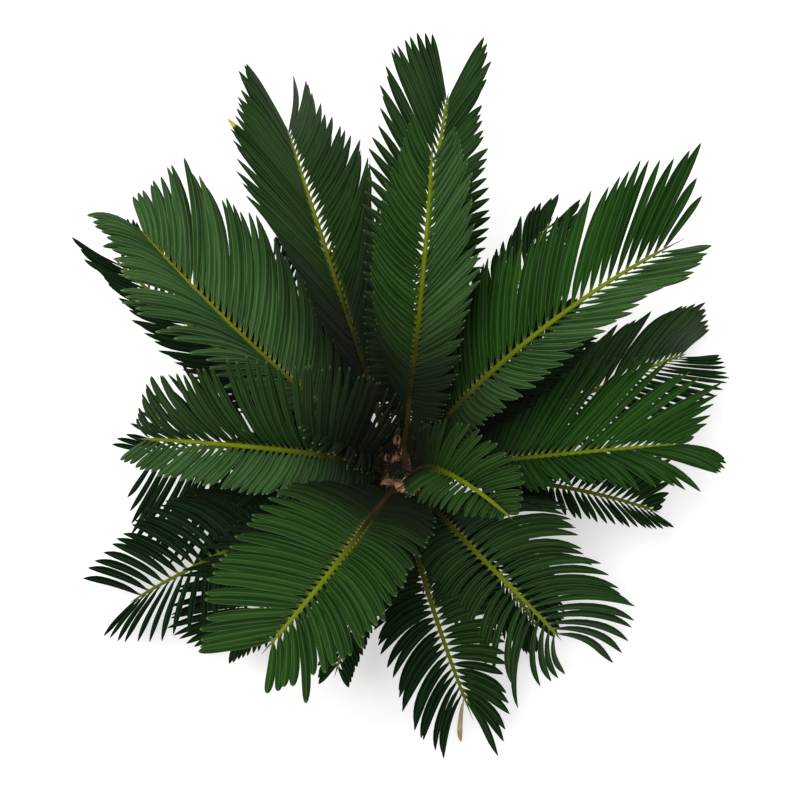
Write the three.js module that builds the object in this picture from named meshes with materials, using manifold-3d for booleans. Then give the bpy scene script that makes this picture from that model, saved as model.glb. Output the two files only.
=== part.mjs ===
// Sago palm (Cycas revoluta), a young rosette on a short stem rooted in level ground.
// Millimetres, +Z up. The origin is the middle of the flat cut under the trunk, at ground level.
//
//   trunk       short barrel stem with a slight root flare and a flat cut at z = 0
//   crown_apex  woolly cone of young leaf bases on top of the stem
//   frond_NN    one pinnate leaf each: a thin folded blade with the outline of its leaflets,
//               on a tapering stalk that starts at the stem
//
// Each frond is worked out from a row of named sizes: the stalk leaves the stem at one slope and
// bends over to another, and its two rows of leaflets set the outline on the left and the right.

import * as THREE from 'three';
import { mergeVertices } from 'three/addons/utils/BufferGeometryUtils.js';
import Module from 'manifold-3d';

// ------------------------------------------------------------------ trunk and apex sizes
const TRUNK_HEIGHT = 120;          // ground to the shoulder under the crown
const TRUNK_FLARE_RADIUS = 57;     // at the ground
const TRUNK_WAIST_RADIUS = 46;     // two thirds of the way up
const TRUNK_SHOULDER_RADIUS = 48;  // just under the crown
const TRUNK_TOP_RADIUS = 30;       // flat top, under the apex
const TRUNK_UNEVEN = 0.03;         // out of round, as a part of the radius
const TRUNK_SIDES = 20;
const APEX_RADIUS = 27;
const APEX_HEIGHT = 26;
const APEX_TIP_RADIUS = 7;
const APEX_SIDES = 14;
const GAP = 0.35;                  // kept between neighbouring solids
const TIDY = 0.1;                  // slivers left by a cut are merged when thinner than this

// ------------------------------------------------------------------ frond sizes shared by all
const STALK_HALF_BASE = 4.2;       // half width of the stalk where it leaves the stem
const STALK_HALF_BLADE = 2.6;      // where the leaflets begin
const STALK_HALF_TIP = 1.1;        // at the end of the frond
const BLADE_HALF_MID = 0.9;        // half thickness half way out along the leaflets
const BLADE_HALF_EDGE = 0.6;       // half thickness along the outline
const SPREAD_POWER = 1.3;          // how late the leaflets turn forward along the stalk
const MIN_SPREAD = 3;              // a leaflet never turns closer to the stalk than this, degrees
const STATIONS = 7;                // cross-sections of a blade
const PATH_STEPS = 40;             // steps in which the stalk's curve is summed
const LEAF_STEPS = 8;              // steps in which a leaflet's curve is summed
const OUTLINE_AT = [0, 0.06, 0.2, 0.45, 0.75, 1];

// ------------------------------------------------------------------ one row for each frond
// azimuth   direction in plan, degrees from +X towards +Y
// seat      radius and height of the stalk's foot inside the stem
// length    of the stalk, foot to tip; petiole is the bare part of it
// rise, endRise  slope of the stalk at its foot and at its tip, degrees
// swing     sideways bend over the length; roll turns the blade about its stalk
// leaf      longest leaflet on that side; lift is the fold of the blade above flat
// spread, endSpread  angle of the leaflets to the stalk, near the foot and at the tip;
//           bulge is added to it half way
// sickle, endSickle  how far a leaflet curves forward over its length, near the foot and at the tip
// droop     how far a leaflet curves down over its length
// outline   leaflet length at the foot, 20, 45, 75 and 100 per cent of the blade
const FRONDS = [
  {
    name: 'frond_01', azimuth: -44.5, seat: [18, 127], length: 219, petiole: 0.14, rise: 89.6, endRise: 23.1, swing: -5.6, roll: 22.9,
    left: { leaf: 76, lift: 42, spread: 77, endSpread: 50, bulge: -25, sickle: -6, endSickle: 16, droop: 30,
      outline: [0.3, 0.6, 1, 1.01, 0.15] },
    right: { leaf: 41, lift: 37, spread: 125, endSpread: 60, bulge: -7, sickle: -23, endSickle: -3, droop: 60,
      outline: [0.52, 0.6, 1, 0.73, 0.15] },
  },
  {
    name: 'frond_02', azimuth: 77.5, seat: [14, 128], length: 316, petiole: 0.14, rise: 68.4, endRise: 37, swing: 9.1, roll: -12.6,
    left: { leaf: 69, lift: 25, spread: 30, endSpread: 35, bulge: 27, sickle: 26, endSickle: 22, droop: 30,
      outline: [0.42, 0.89, 1, 0.84, 0.58] },
    right: { leaf: 94, lift: 35, spread: 75, endSpread: 46, bulge: -21, sickle: 3, endSickle: 14, droop: 30,
      outline: [0.3, 0.68, 1, 0.83, 0.35] },
  },
  {
    name: 'frond_03', azimuth: 256.6, seat: [25, 123], length: 293, petiole: 0.14, rise: 74.9, endRise: 9.7, swing: -24.7, roll: -8,
    left: { leaf: 67, lift: 34, spread: 60, endSpread: 46, bulge: 14, sickle: 7, endSickle: 20, droop: 40,
      outline: [0.55, 0.99, 1, 1.16, 0.62] },
    right: { leaf: 83, lift: 3, spread: 107, endSpread: 34, bulge: 9, sickle: 24, endSickle: -4, droop: 30,
      outline: [0.47, 0.74, 1, 1.08, 0.68] },
  },
  {
    name: 'frond_04', azimuth: 195.2, seat: [18, 126], length: 272, petiole: 0.14, rise: 74, endRise: -25.8, swing: -27.1, roll: -17.2,
    left: { leaf: 53, lift: 31, spread: 74, endSpread: 51, bulge: 2, sickle: 16, endSickle: 19, droop: 50,
      outline: [0.45, 0.97, 1, 0.89, 0.6] },
    right: { leaf: 108, lift: 52, spread: 76, endSpread: 69, bulge: -25, sickle: -15, endSickle: -21, droop: 30,
      outline: [0.53, 0.98, 1, 0.75, 0.15] },
  },
  {
    name: 'frond_05', azimuth: 32.4, seat: [20, 125], length: 348, petiole: 0.14, rise: 74.6, endRise: -10.7, swing: 0.6, roll: 18.2,
    left: { leaf: 99, lift: 3, spread: 50, endSpread: 35, bulge: 6, sickle: 16, endSickle: 10, droop: 30,
      outline: [0.4, 1.14, 1, 1.25, 0.88] },
    right: { leaf: 62, lift: 51, spread: 96, endSpread: 40, bulge: -20, sickle: 16, endSickle: 24, droop: 50,
      outline: [0.43, 0.7, 1, 1.35, 0.69] },
  },
  {
    name: 'frond_06', azimuth: 154.2, seat: [20, 125], length: 334, petiole: 0.14, rise: 50.9, endRise: -2.1, swing: -24.6, roll: 33,
    left: { leaf: 149, lift: 35, spread: 83, endSpread: 75, bulge: -25, sickle: 6, endSickle: 10, droop: 50,
      outline: [0.48, 0.6, 1, 0.55, 0.41] },
    right: { leaf: 148, lift: 18, spread: 86, endSpread: 36, bulge: 4, sickle: 45, endSickle: 29, droop: 30,
      outline: [0.43, 0.84, 1, 1.02, 0.29] },
  },
  {
    name: 'frond_07', azimuth: -55.8, seat: [24, 122], length: 224, petiole: 0.14, rise: 37.1, endRise: -54.4, swing: 22.3, roll: 13.3,
    left: { leaf: 91, lift: 8, spread: 82, endSpread: 36, bulge: 18, sickle: 65, endSickle: 46, droop: 30,
      outline: [0.33, 1.25, 1, 1.25, 1.12] },
    right: { leaf: 74, lift: 6, spread: 124, endSpread: 43, bulge: 8, sickle: 50, endSickle: 52, droop: 30,
      outline: [0.4, 0.83, 1, 1.18, 0.75] },
  },
  {
    name: 'frond_08', azimuth: -3, seat: [24, 121], length: 263, petiole: 0.14, rise: 33.9, endRise: -22.5, swing: 14.4, roll: -29.1,
    left: { leaf: 145, lift: 29, spread: 79, endSpread: 28, bulge: -17, sickle: -13, endSickle: 17, droop: 30,
      outline: [0.35, 0.78, 1, 0.95, 0.15] },
    right: { leaf: 74, lift: 30, spread: 76, endSpread: 54, bulge: 14, sickle: 19, endSickle: 11, droop: 45,
      outline: [0.57, 0.88, 1, 1.35, 0.64] },
  },
  {
    name: 'frond_09', azimuth: 112.4, seat: [38, 116], length: 374, petiole: 0.14, rise: 53.8, endRise: -27.9, swing: -7.9, roll: 33.7,
    left: { leaf: 132, lift: 16, spread: 49, endSpread: 17, bulge: 16, sickle: 43, endSickle: 18, droop: 30,
      outline: [0.38, 0.6, 1, 0.8, 1.09] },
    right: { leaf: 146, lift: 6, spread: 35, endSpread: 25, bulge: 25, sickle: 30, endSickle: 31, droop: 30,
      outline: [0.49, 0.97, 1, 0.85, 1.24] },
  },
  {
    name: 'frond_10', azimuth: 82.7, seat: [35, 116], length: 374, petiole: 0.14, rise: 58.8, endRise: -16.7, swing: -0.8, roll: 2.1,
    left: { leaf: 82, lift: 49, spread: 102, endSpread: 37, bulge: 1, sickle: 15, endSickle: 21, droop: 30,
      outline: [0.41, 0.77, 1, 1.35, 0.99] },
    right: { leaf: 75, lift: 46, spread: 92, endSpread: 27, bulge: 10, sickle: 18, endSickle: 16, droop: 30,
      outline: [0.45, 0.92, 1, 0.81, 1.3] },
  },
  {
    name: 'frond_11', azimuth: 141, seat: [29, 118], length: 215, petiole: 0.16, rise: 36, endRise: -18, swing: 3, roll: 2,
    left: { leaf: 70, lift: 26, spread: 80, endSpread: 32, bulge: 0, sickle: 20, endSickle: 20, droop: 30,
      outline: [0.4, 0.85, 1, 0.92, 0.5] },
    right: { leaf: 70, lift: 26, spread: 80, endSpread: 32, bulge: 0, sickle: 20, endSickle: 20, droop: 30,
      outline: [0.4, 0.85, 1, 0.92, 0.5] },
  },
  {
    name: 'frond_12', azimuth: 43, seat: [29, 118], length: 215, petiole: 0.16, rise: 34, endRise: -24, swing: -4, roll: 5,
    left: { leaf: 66, lift: 26, spread: 80, endSpread: 32, bulge: 0, sickle: 20, endSickle: 20, droop: 30,
      outline: [0.4, 0.85, 1, 0.92, 0.5] },
    right: { leaf: 66, lift: 26, spread: 80, endSpread: 32, bulge: 0, sickle: 20, endSickle: 20, droop: 30,
      outline: [0.4, 0.85, 1, 0.92, 0.5] },
  },
  {
    name: 'frond_13', azimuth: 104, seat: [40, 109], length: 205, petiole: 0.16, rise: 32, endRise: -24, swing: -5, roll: 3,
    left: { leaf: 66, lift: 26, spread: 80, endSpread: 32, bulge: -4, sickle: 20, endSickle: 15, droop: 30,
      outline: [0.4, 0.85, 1, 0.92, 0.5] },
    right: { leaf: 66, lift: 26, spread: 80, endSpread: 32, bulge: 1, sickle: 20, endSickle: 21, droop: 30,
      outline: [0.4, 0.85, 1, 0.92, 0.5] },
  },
  {
    name: 'frond_14', azimuth: 243, seat: [29, 117], length: 120, petiole: 0.16, rise: 32, endRise: -26, swing: -6, roll: 3,
    left: { leaf: 56, lift: 26, spread: 80, endSpread: 32, bulge: 0, sickle: 20, endSickle: 20, droop: 30,
      outline: [0.4, 0.85, 1, 0.92, 0.5] },
    right: { leaf: 56, lift: 26, spread: 80, endSpread: 32, bulge: 0, sickle: 20, endSickle: 20, droop: 30,
      outline: [0.4, 0.85, 1, 0.92, 0.5] },
  },
  {
    name: 'frond_15', azimuth: 184, seat: [30, 117], length: 135, petiole: 0.16, rise: 33, endRise: -24, swing: -5, roll: -2,
    left: { leaf: 58, lift: 26, spread: 80, endSpread: 32, bulge: 0, sickle: 20, endSickle: 20, droop: 30,
      outline: [0.4, 0.85, 1, 0.92, 0.5] },
    right: { leaf: 58, lift: 26, spread: 80, endSpread: 32, bulge: 0, sickle: 20, endSickle: 20, droop: 30,
      outline: [0.4, 0.85, 1, 0.92, 0.5] },
  },
  {
    name: 'frond_16', azimuth: -56, seat: [31, 116], length: 100, petiole: 0.16, rise: 24, endRise: -34, swing: -4, roll: -3,
    left: { leaf: 48, lift: 26, spread: 80, endSpread: 32, bulge: 0, sickle: 20, endSickle: 20, droop: 30,
      outline: [0.4, 0.85, 1, 0.92, 0.5] },
    right: { leaf: 48, lift: 26, spread: 80, endSpread: 32, bulge: 0, sickle: 20, endSickle: 20, droop: 30,
      outline: [0.4, 0.85, 1, 0.92, 0.5] },
  },
  {
    name: 'frond_17', azimuth: 4, seat: [31, 116], length: 115, petiole: 0.16, rise: 24, endRise: -34, swing: 4, roll: -4,
    left: { leaf: 50, lift: 26, spread: 80, endSpread: 32, bulge: 0, sickle: 20, endSickle: 20, droop: 30,
      outline: [0.4, 0.85, 1, 0.92, 0.5] },
    right: { leaf: 50, lift: 26, spread: 80, endSpread: 32, bulge: 0, sickle: 20, endSickle: 20, droop: 30,
      outline: [0.4, 0.85, 1, 0.92, 0.5] },
  },
  {
    name: 'frond_18', azimuth: 155.2, seat: [33, 114], length: 339, petiole: 0.14, rise: 36.9, endRise: -15.1, swing: -22.7, roll: 0.2,
    left: { leaf: 69, lift: 24, spread: 78, endSpread: 26, bulge: -9, sickle: 24, endSickle: 28, droop: 30,
      outline: [0.3, 0.81, 1, 0.92, 0.98] },
    right: { leaf: 67, lift: 23, spread: 68, endSpread: 41, bulge: 3, sickle: 20, endSickle: 17, droop: 30,
      outline: [0.31, 0.8, 1, 1.12, 0.96] },
  },
  {
    name: 'frond_19', azimuth: 209.3, seat: [32, 114], length: 276, petiole: 0.14, rise: 22.9, endRise: -41.5, swing: -11.5, roll: 3.7,
    left: { leaf: 67, lift: 16, spread: 125, endSpread: 9, bulge: 2, sickle: 1, endSickle: -9, droop: 30,
      outline: [0.42, 0.87, 1, 1.02, 0.97] },
    right: { leaf: 94, lift: 16, spread: 58, endSpread: 40, bulge: 26, sickle: 64, endSickle: 23, droop: 30,
      outline: [0.3, 0.96, 1, 0.89, 0.96] },
  },
  {
    name: 'frond_20', azimuth: -81.5, seat: [30, 115], length: 220, petiole: 0.14, rise: 31.4, endRise: -42, swing: 16.9, roll: -14.5,
    left: { leaf: 72, lift: 13, spread: 111, endSpread: 20, bulge: 28, sickle: 17, endSickle: 31, droop: 30,
      outline: [0.35, 0.76, 1, 0.8, 1.05] },
    right: { leaf: 69, lift: 13, spread: 111, endSpread: 64, bulge: -2, sickle: 41, endSickle: 50, droop: 30,
      outline: [0.34, 0.86, 1, 1.08, 0.87] },
  },
  {
    name: 'frond_21', azimuth: 18.1, seat: [33, 113], length: 325, petiole: 0.14, rise: 24.7, endRise: -38.5, swing: 16.4, roll: -5.7,
    left: { leaf: 96, lift: 30, spread: 60, endSpread: 21, bulge: -4, sickle: 20, endSickle: 20, droop: 30,
      outline: [0.43, 0.63, 1, 1.35, 0.85] },
    right: { leaf: 84, lift: 20, spread: 83, endSpread: 24, bulge: 7, sickle: 6, endSickle: 25, droop: 30,
      outline: [0.43, 0.6, 1, 1.11, 0.75] },
  },
  {
    name: 'frond_22', azimuth: 54, seat: [32, 114], length: 285, petiole: 0.14, rise: 33.3, endRise: -14.9, swing: 10.6, roll: 4.1,
    left: { leaf: 54, lift: 25, spread: 79, endSpread: 16, bulge: -1, sickle: 29, endSickle: 21, droop: 30,
      outline: [0.44, 0.82, 1, 1.18, 0.83] },
    right: { leaf: 60, lift: 26, spread: 75, endSpread: 29, bulge: -3, sickle: 21, endSickle: 24, droop: 30,
      outline: [0.37, 0.81, 1, 0.97, 0.93] },
  },
  {
    name: 'frond_23', azimuth: 170.5, seat: [33, 114], length: 232, petiole: 0.14, rise: 28.7, endRise: -33.4, swing: 12.1, roll: -22.8,
    left: { leaf: 138, lift: 12, spread: 84, endSpread: 44, bulge: 7, sickle: 26, endSickle: 18, droop: 30,
      outline: [0.39, 0.85, 1, 0.93, 0.4] },
    right: { leaf: 110, lift: 26, spread: 81, endSpread: 30, bulge: 1, sickle: 7, endSickle: 14, droop: 30,
      outline: [0.45, 0.86, 1, 0.57, 0.47] },
  },
  {
    name: 'frond_24', azimuth: -5.5, seat: [34, 112], length: 236, petiole: 0.2, rise: 16.4, endRise: -31.4, swing: -3.2, roll: -6.5,
    left: { leaf: 69, lift: 22, spread: 76, endSpread: 37, bulge: 4, sickle: 33, endSickle: 10, droop: 30,
      outline: [0.36, 0.97, 1, 1.22, 0.15] },
    right: { leaf: 38, lift: 25, spread: 110, endSpread: 30, bulge: -1, sickle: 9, endSickle: 15, droop: 30,
      outline: [0.36, 0.62, 1, 1.07, 0.78] },
  },
  {
    name: 'frond_25', azimuth: 226.9, seat: [34, 111], length: 209, petiole: 0.2, rise: 18, endRise: -42, swing: -7.1, roll: -4.7,
    left: { leaf: 53, lift: 23, spread: 84, endSpread: 35, bulge: -1, sickle: 12, endSickle: 13, droop: 30,
      outline: [0.41, 0.86, 1, 0.76, 0.53] },
    right: { leaf: 105, lift: 25, spread: 79, endSpread: 32, bulge: 0, sickle: 27, endSickle: 25, droop: 30,
      outline: [0.37, 0.84, 1, 0.91, 0.35] },
  },
  {
    name: 'frond_26', azimuth: -106.1, seat: [34, 111], length: 176, petiole: 0.2, rise: 18.9, endRise: -41.7, swing: -4.7, roll: -4,
    left: { leaf: 29, lift: 19, spread: 77, endSpread: 49, bulge: -6, sickle: 7, endSickle: 12, droop: 30,
      outline: [0.38, 0.84, 1, 0.94, 0.8] },
    right: { leaf: 41, lift: 24, spread: 84, endSpread: 34, bulge: 3, sickle: 25, endSickle: 22, droop: 30,
      outline: [0.42, 0.88, 1, 0.8, 0.7] },
  },
  {
    name: 'frond_27', azimuth: 122.2, seat: [40, 109], length: 274, petiole: 0.14, rise: 23.8, endRise: -35.6, swing: -8.6, roll: 0.1,
    left: { leaf: 80, lift: 24, spread: 80, endSpread: 32, bulge: -3, sickle: 20, endSickle: 16, droop: 30,
      outline: [0.4, 0.61, 1, 0.91, 0.41] },
    right: { leaf: 79, lift: 24, spread: 80, endSpread: 32, bulge: -3, sickle: 20, endSickle: 22, droop: 30,
      outline: [0.4, 0.61, 1, 0.91, 0.41] },
  },
  {
    name: 'frond_28', azimuth: 90, seat: [36, 104], length: 255, petiole: 0.2, rise: 18, endRise: -44, swing: -6, roll: 3,
    left: { leaf: 74, lift: 24, spread: 80, endSpread: 32, bulge: 0, sickle: 20, endSickle: 20, droop: 30,
      outline: [0.4, 0.85, 1, 0.92, 0.5] },
    right: { leaf: 74, lift: 24, spread: 80, endSpread: 32, bulge: 1, sickle: 20, endSickle: 20, droop: 30,
      outline: [0.4, 0.85, 1, 0.92, 0.5] },
  },
  {
    name: 'frond_29', azimuth: 36, seat: [36, 103], length: 240, petiole: 0.2, rise: 16, endRise: -42, swing: 6, roll: 4,
    left: { leaf: 72, lift: 24, spread: 80, endSpread: 32, bulge: -1, sickle: 20, endSickle: 20, droop: 30,
      outline: [0.4, 0.85, 1, 0.92, 0.5] },
    right: { leaf: 72, lift: 24, spread: 80, endSpread: 32, bulge: -7, sickle: 20, endSickle: 22, droop: 30,
      outline: [0.4, 0.85, 1, 0.92, 0.5] },
  },
  {
    name: 'frond_30', azimuth: -44, seat: [36, 103], length: 175, petiole: 0.2, rise: 14, endRise: -46, swing: -6, roll: -3,
    left: { leaf: 60, lift: 24, spread: 80, endSpread: 32, bulge: -3, sickle: 20, endSickle: 29, droop: 30,
      outline: [0.4, 0.85, 1, 0.92, 0.5] },
    right: { leaf: 60, lift: 24, spread: 80, endSpread: 32, bulge: -2, sickle: 20, endSickle: 20, droop: 30,
      outline: [0.4, 0.85, 1, 0.92, 0.5] },
  },
  {
    name: 'frond_31', azimuth: -154, seat: [36, 103], length: 180, petiole: 0.2, rise: 14, endRise: -44, swing: 5, roll: -4,
    left: { leaf: 62, lift: 24, spread: 80, endSpread: 32, bulge: 2, sickle: 20, endSickle: 18, droop: 30,
      outline: [0.4, 0.85, 1, 0.92, 0.5] },
    right: { leaf: 62, lift: 24, spread: 80, endSpread: 32, bulge: -7, sickle: 20, endSickle: 21, droop: 30,
      outline: [0.4, 0.85, 1, 0.92, 0.5] },
  },
];

const wasm = await Module();
wasm.setup();
const rad = Math.PI / 180;
const V = (x, y, z) => new THREE.Vector3(x, y, z);

// ------------------------------------------------------------------ the frond's curves
function interp(x, xs, ys) {
  if (x <= xs[0]) return ys[0];
  for (let i = 1; i < xs.length; i++) {
    if (x <= xs[i]) return ys[i - 1] + (ys[i] - ys[i - 1]) * (x - xs[i - 1]) / (xs[i] - xs[i - 1]);
  }
  return ys[ys.length - 1];
}

// Points of the stalk with their frames: t along it, n the upper side, s the right side.
function stalkPath(f) {
  const frames = [];
  for (let i = 0; i <= PATH_STEPS; i++) {
    const s = i / PATH_STEPS;
    const e = (f.rise + (f.endRise - f.rise) * s) * rad;
    const a = (f.azimuth + f.swing * s) * rad;
    const t = V(Math.cos(e) * Math.cos(a), Math.cos(e) * Math.sin(a), Math.sin(e));
    const n0 = V(-Math.sin(e) * Math.cos(a), -Math.sin(e) * Math.sin(a), Math.cos(e));
    const s0 = t.clone().cross(n0);
    const r = f.roll * rad;
    const n = n0.clone().multiplyScalar(Math.cos(r)).addScaledVector(s0, Math.sin(r));
    const side = s0.clone().multiplyScalar(Math.cos(r)).addScaledVector(n0, -Math.sin(r));
    frames.push({ t, n, s: side });
  }
  const p = V(f.seat[0] * Math.cos(f.azimuth * rad), f.seat[0] * Math.sin(f.azimuth * rad), f.seat[1]);
  frames[0].p = p.clone();
  for (let i = 1; i <= PATH_STEPS; i++) {
    p.addScaledVector(frames[i - 1].t.clone().add(frames[i].t), 0.5 * f.length / PATH_STEPS);
    frames[i].p = p.clone();
  }
  return frames;
}

function frameAt(frames, s) {
  const x = Math.min(Math.max(s, 0), 1) * PATH_STEPS;
  const i = Math.min(Math.floor(x), PATH_STEPS - 1);
  const k = x - i;
  const mix = (key) => frames[i][key].clone().lerp(frames[i + 1][key], k);
  return { p: mix('p'), t: mix('t'), n: mix('n'), s: mix('s') };
}

// The curve of the leaflet at u along the blade, from the stalk to its tip.
function leafletCurve(f, frames, hand, u) {
  const side = hand > 0 ? f.right : f.left;
  const fr = frameAt(frames, f.petiole + (1 - f.petiole) * u);
  const o = side.outline;
  const length = side.leaf * interp(u, OUTLINE_AT, [o[0], 0.5 * (o[0] + o[1]), o[1], o[2], o[3], o[4]]);
  const spread = side.spread + (side.endSpread - side.spread) * Math.pow(u, SPREAD_POWER) + side.bulge * 4 * u * (1 - u);
  const sickle = side.sickle + (side.endSickle - side.sickle) * u;
  const points = [fr.p.clone()];
  const q = fr.p.clone();
  for (let k = 0; k < LEAF_STEPS; k++) {
    const t = (k + 0.5) / LEAF_STEPS;
    const a = Math.max(spread - sickle * t, MIN_SPREAD) * rad;
    const v = (side.lift - side.droop * t * t) * rad;
    q.addScaledVector(fr.t, Math.cos(a) * length / LEAF_STEPS);
    q.addScaledVector(fr.s, hand * Math.sin(a) * Math.cos(v) * length / LEAF_STEPS);
    q.addScaledVector(fr.n, Math.sin(a) * Math.sin(v) * length / LEAF_STEPS);
    points.push(q.clone());
  }
  return { points, frame: fr };
}

// ------------------------------------------------------------------ closed meshes from rings
function solidFrom(positions, triangles) {
  const g = new THREE.BufferGeometry();
  g.setAttribute('position', new THREE.Float32BufferAttribute(positions, 3));
  g.setIndex(triangles);
  const m = mergeVertices(g, 1e-4);
  const build = (index) => {
    const mesh = new wasm.Mesh({
      numProp: 3,
      vertProperties: new Float32Array(m.getAttribute('position').array),
      triVerts: new Uint32Array(index),
    });
    mesh.merge();
    return new wasm.Manifold(mesh);
  };
  const solid = build(m.getIndex().array);
  return solid.volume() < 0 ? build(Array.from(m.getIndex().array).reverse()) : solid;
}

// Rings of equal size, joined in order, the two end rings closed by fans.
function loft(rings) {
  const n = rings[0].length;
  const pos = [];
  const tri = [];
  for (const ring of rings) for (const p of ring) pos.push(p.x, p.y, p.z);
  for (let i = 0; i + 1 < rings.length; i++) {
    for (let j = 0; j < n; j++) {
      const a = i * n + j, b = i * n + (j + 1) % n, c = a + n, d = b + n;
      tri.push(a, b, d, a, d, c);
    }
  }
  const last = (rings.length - 1) * n;
  for (let j = 1; j + 1 < n; j++) {
    tri.push(0, j + 1, j);
    tri.push(last, last + j, last + j + 1);
  }
  return solidFrom(pos, tri);
}

// ------------------------------------------------------------------ trunk and apex
function turned(profile, sides, uneven, grow) {
  const rings = profile.map(([r, z]) => {
    const ring = [];
    for (let j = 0; j < sides; j++) {
      const a = 2 * Math.PI * j / sides;
      const k = 1 + uneven * (Math.sin(2 * a + 0.8) + 0.5 * Math.sin(5 * a + 2.1));
      ring.push(V((r + grow) * k * Math.cos(a), (r + grow) * k * Math.sin(a), z));
    }
    return ring;
  });
  return loft(rings);
}

function trunkSolid(grow) {
  const h = TRUNK_HEIGHT;
  return turned([
    [TRUNK_FLARE_RADIUS, -grow],
    [TRUNK_FLARE_RADIUS * 0.945, 0.08 * h],
    [(TRUNK_FLARE_RADIUS + TRUNK_WAIST_RADIUS * 2) / 3, 0.24 * h],
    [TRUNK_WAIST_RADIUS * 1.01, 0.45 * h],
    [TRUNK_WAIST_RADIUS, 0.62 * h],
    [TRUNK_SHOULDER_RADIUS, 0.82 * h],
    [TRUNK_SHOULDER_RADIUS * 0.96, 0.92 * h],
    [TRUNK_SHOULDER_RADIUS * 0.84, 0.98 * h],
    [TRUNK_TOP_RADIUS, 1.03 * h + grow],
  ], TRUNK_SIDES, TRUNK_UNEVEN, grow);
}

function apexSolid(grow) {
  const z0 = 1.03 * TRUNK_HEIGHT + GAP - grow;
  const top = z0 + grow + APEX_HEIGHT;
  const out = [];
  for (const k of [0, 0.35, 0.7, 1]) {
    const r = APEX_TIP_RADIUS + (APEX_RADIUS - APEX_TIP_RADIUS) * Math.cos(k * Math.PI / 2);
    out.push([r, k === 0 ? z0 : z0 + grow + APEX_HEIGHT * k + (k === 1 ? grow : 0)]);
  }
  out[out.length - 1][1] = top + grow;
  return turned(out, APEX_SIDES, 0.04, grow);
}

// ------------------------------------------------------------------ fronds
function stalkHalf(f, s) {
  return interp(s, [0, f.petiole, 1], [STALK_HALF_BASE, STALK_HALF_BLADE, STALK_HALF_TIP]);
}

// A square bar along the stalk; half gives its half width at s.
function bar(f, frames, from, to, steps, half) {
  const rings = [];
  for (let i = 0; i <= steps; i++) {
    const s = from + (to - from) * i / steps;
    const fr = frameAt(frames, s);
    const h = half(s);
    const at = (a, b) => fr.p.clone().addScaledVector(fr.s, a * h).addScaledVector(fr.n, b * h);
    rings.push([at(1, 0), at(0, -1), at(-1, 0), at(0, 1)]);
  }
  return loft(rings);
}

// The blade: cross-sections from the left outline over the stalk to the right outline.
function blade(f, frames, grow) {
  const rows = [];
  for (let i = 0; i < STATIONS; i++) {
    const u = i / (STATIONS - 1);
    const L = leafletCurve(f, frames, -1, u);
    const R = leafletCurve(f, frames, 1, u);
    const half = LEAF_STEPS / 2;
    rows.push({
      frame: L.frame,
      pts: [L.points[LEAF_STEPS], L.points[half], L.frame.p, R.points[half], R.points[LEAF_STEPS]],
    });
  }
  const n = 5;
  const up = (i, j) => {
    const at = (a, b) => rows[Math.min(Math.max(a, 0), STATIONS - 1)].pts[Math.min(Math.max(b, 0), n - 1)];
    if (j === 2) return rows[i].frame.n.clone();
    const du = at(i + 1, j).clone().sub(at(i - 1, j));
    const dv = (j < 2 ? at(i, j - 1).clone().sub(at(i, j + 1)).negate() : at(i, j + 1).clone().sub(at(i, j - 1)));
    const m = du.cross(dv).normalize();
    if (m.dot(rows[i].frame.n) < 0) m.negate();
    return m;
  };
  const thick = [BLADE_HALF_EDGE, BLADE_HALF_MID, 0, BLADE_HALF_MID, BLADE_HALF_EDGE];
  const pos = [];
  const top = [], bottom = [];
  for (let i = 0; i < STATIONS; i++) {
    const s = f.petiole + (1 - f.petiole) * i / (STATIONS - 1);
    for (let j = 0; j < n; j++) {
      const h = (j === 2 ? stalkHalf(f, s) : thick[j]) + grow;
      const m = up(i, j);
      const p = rows[i].pts[j].clone();
      if (grow > 0) {
        if (j === 0 || j === n - 1) p.addScaledVector(p.clone().sub(rows[i].pts[j === 0 ? 1 : n - 2]).normalize(), grow);
        if (i === 0) p.addScaledVector(rows[i].frame.t, -grow);
        if (i === STATIONS - 1) p.addScaledVector(rows[i].frame.t, grow);
      }
      const a = p.clone().addScaledVector(m, h), b = p.clone().addScaledVector(m, -h);
      top.push(pos.length / 3); pos.push(a.x, a.y, a.z);
      bottom.push(pos.length / 3); pos.push(b.x, b.y, b.z);
    }
  }
  const tri = [];
  const quad = (a, b, c, d) => tri.push(a, b, c, a, c, d);
  for (let i = 0; i + 1 < STATIONS; i++) {
    for (let j = 0; j + 1 < n; j++) {
      const k = i * n + j;
      quad(top[k], top[k + 1], top[k + n + 1], top[k + n]);
      quad(bottom[k], bottom[k + n], bottom[k + n + 1], bottom[k + 1]);
    }
    const l = i * n, r = i * n + n - 1;
    quad(top[l], top[l + n], bottom[l + n], bottom[l]);
    quad(top[r], bottom[r], bottom[r + n], top[r + n]);
  }
  const e = (STATIONS - 1) * n;
  for (let j = 0; j + 1 < n; j++) {
    quad(top[j], bottom[j], bottom[j + 1], top[j + 1]);
    quad(top[e + j], top[e + j + 1], bottom[e + j + 1], bottom[e + j]);
  }
  return solidFrom(pos, tri);
}

function biggest(manifold) {
  let best = null;
  for (const part of manifold.decompose()) {
    if (!best || part.volume() > best.volume()) best = part;
  }
  return best;
}

const trunk = trunkSolid(0);
const apex = apexSolid(0);
const stem = trunkSolid(GAP).add(apexSolid(GAP));

const fronds = FRONDS.map((f) => {
  const frames = stalkPath(f);
  const petiole = bar(f, frames, 0, f.petiole + 0.02, 3, (s) => stalkHalf(f, s));
  return {
    f,
    body: blade(f, frames, 0).add(petiole).subtract(stem),
    reach: blade(f, frames, GAP),
    keep: bar(f, frames, 0, 1, 6, (s) => stalkHalf(f, s) + 0.1),
    clear: bar(f, frames, 0, 1, 6, (s) => stalkHalf(f, s) + 0.1 + GAP * 1.6),
  };
});

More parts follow.
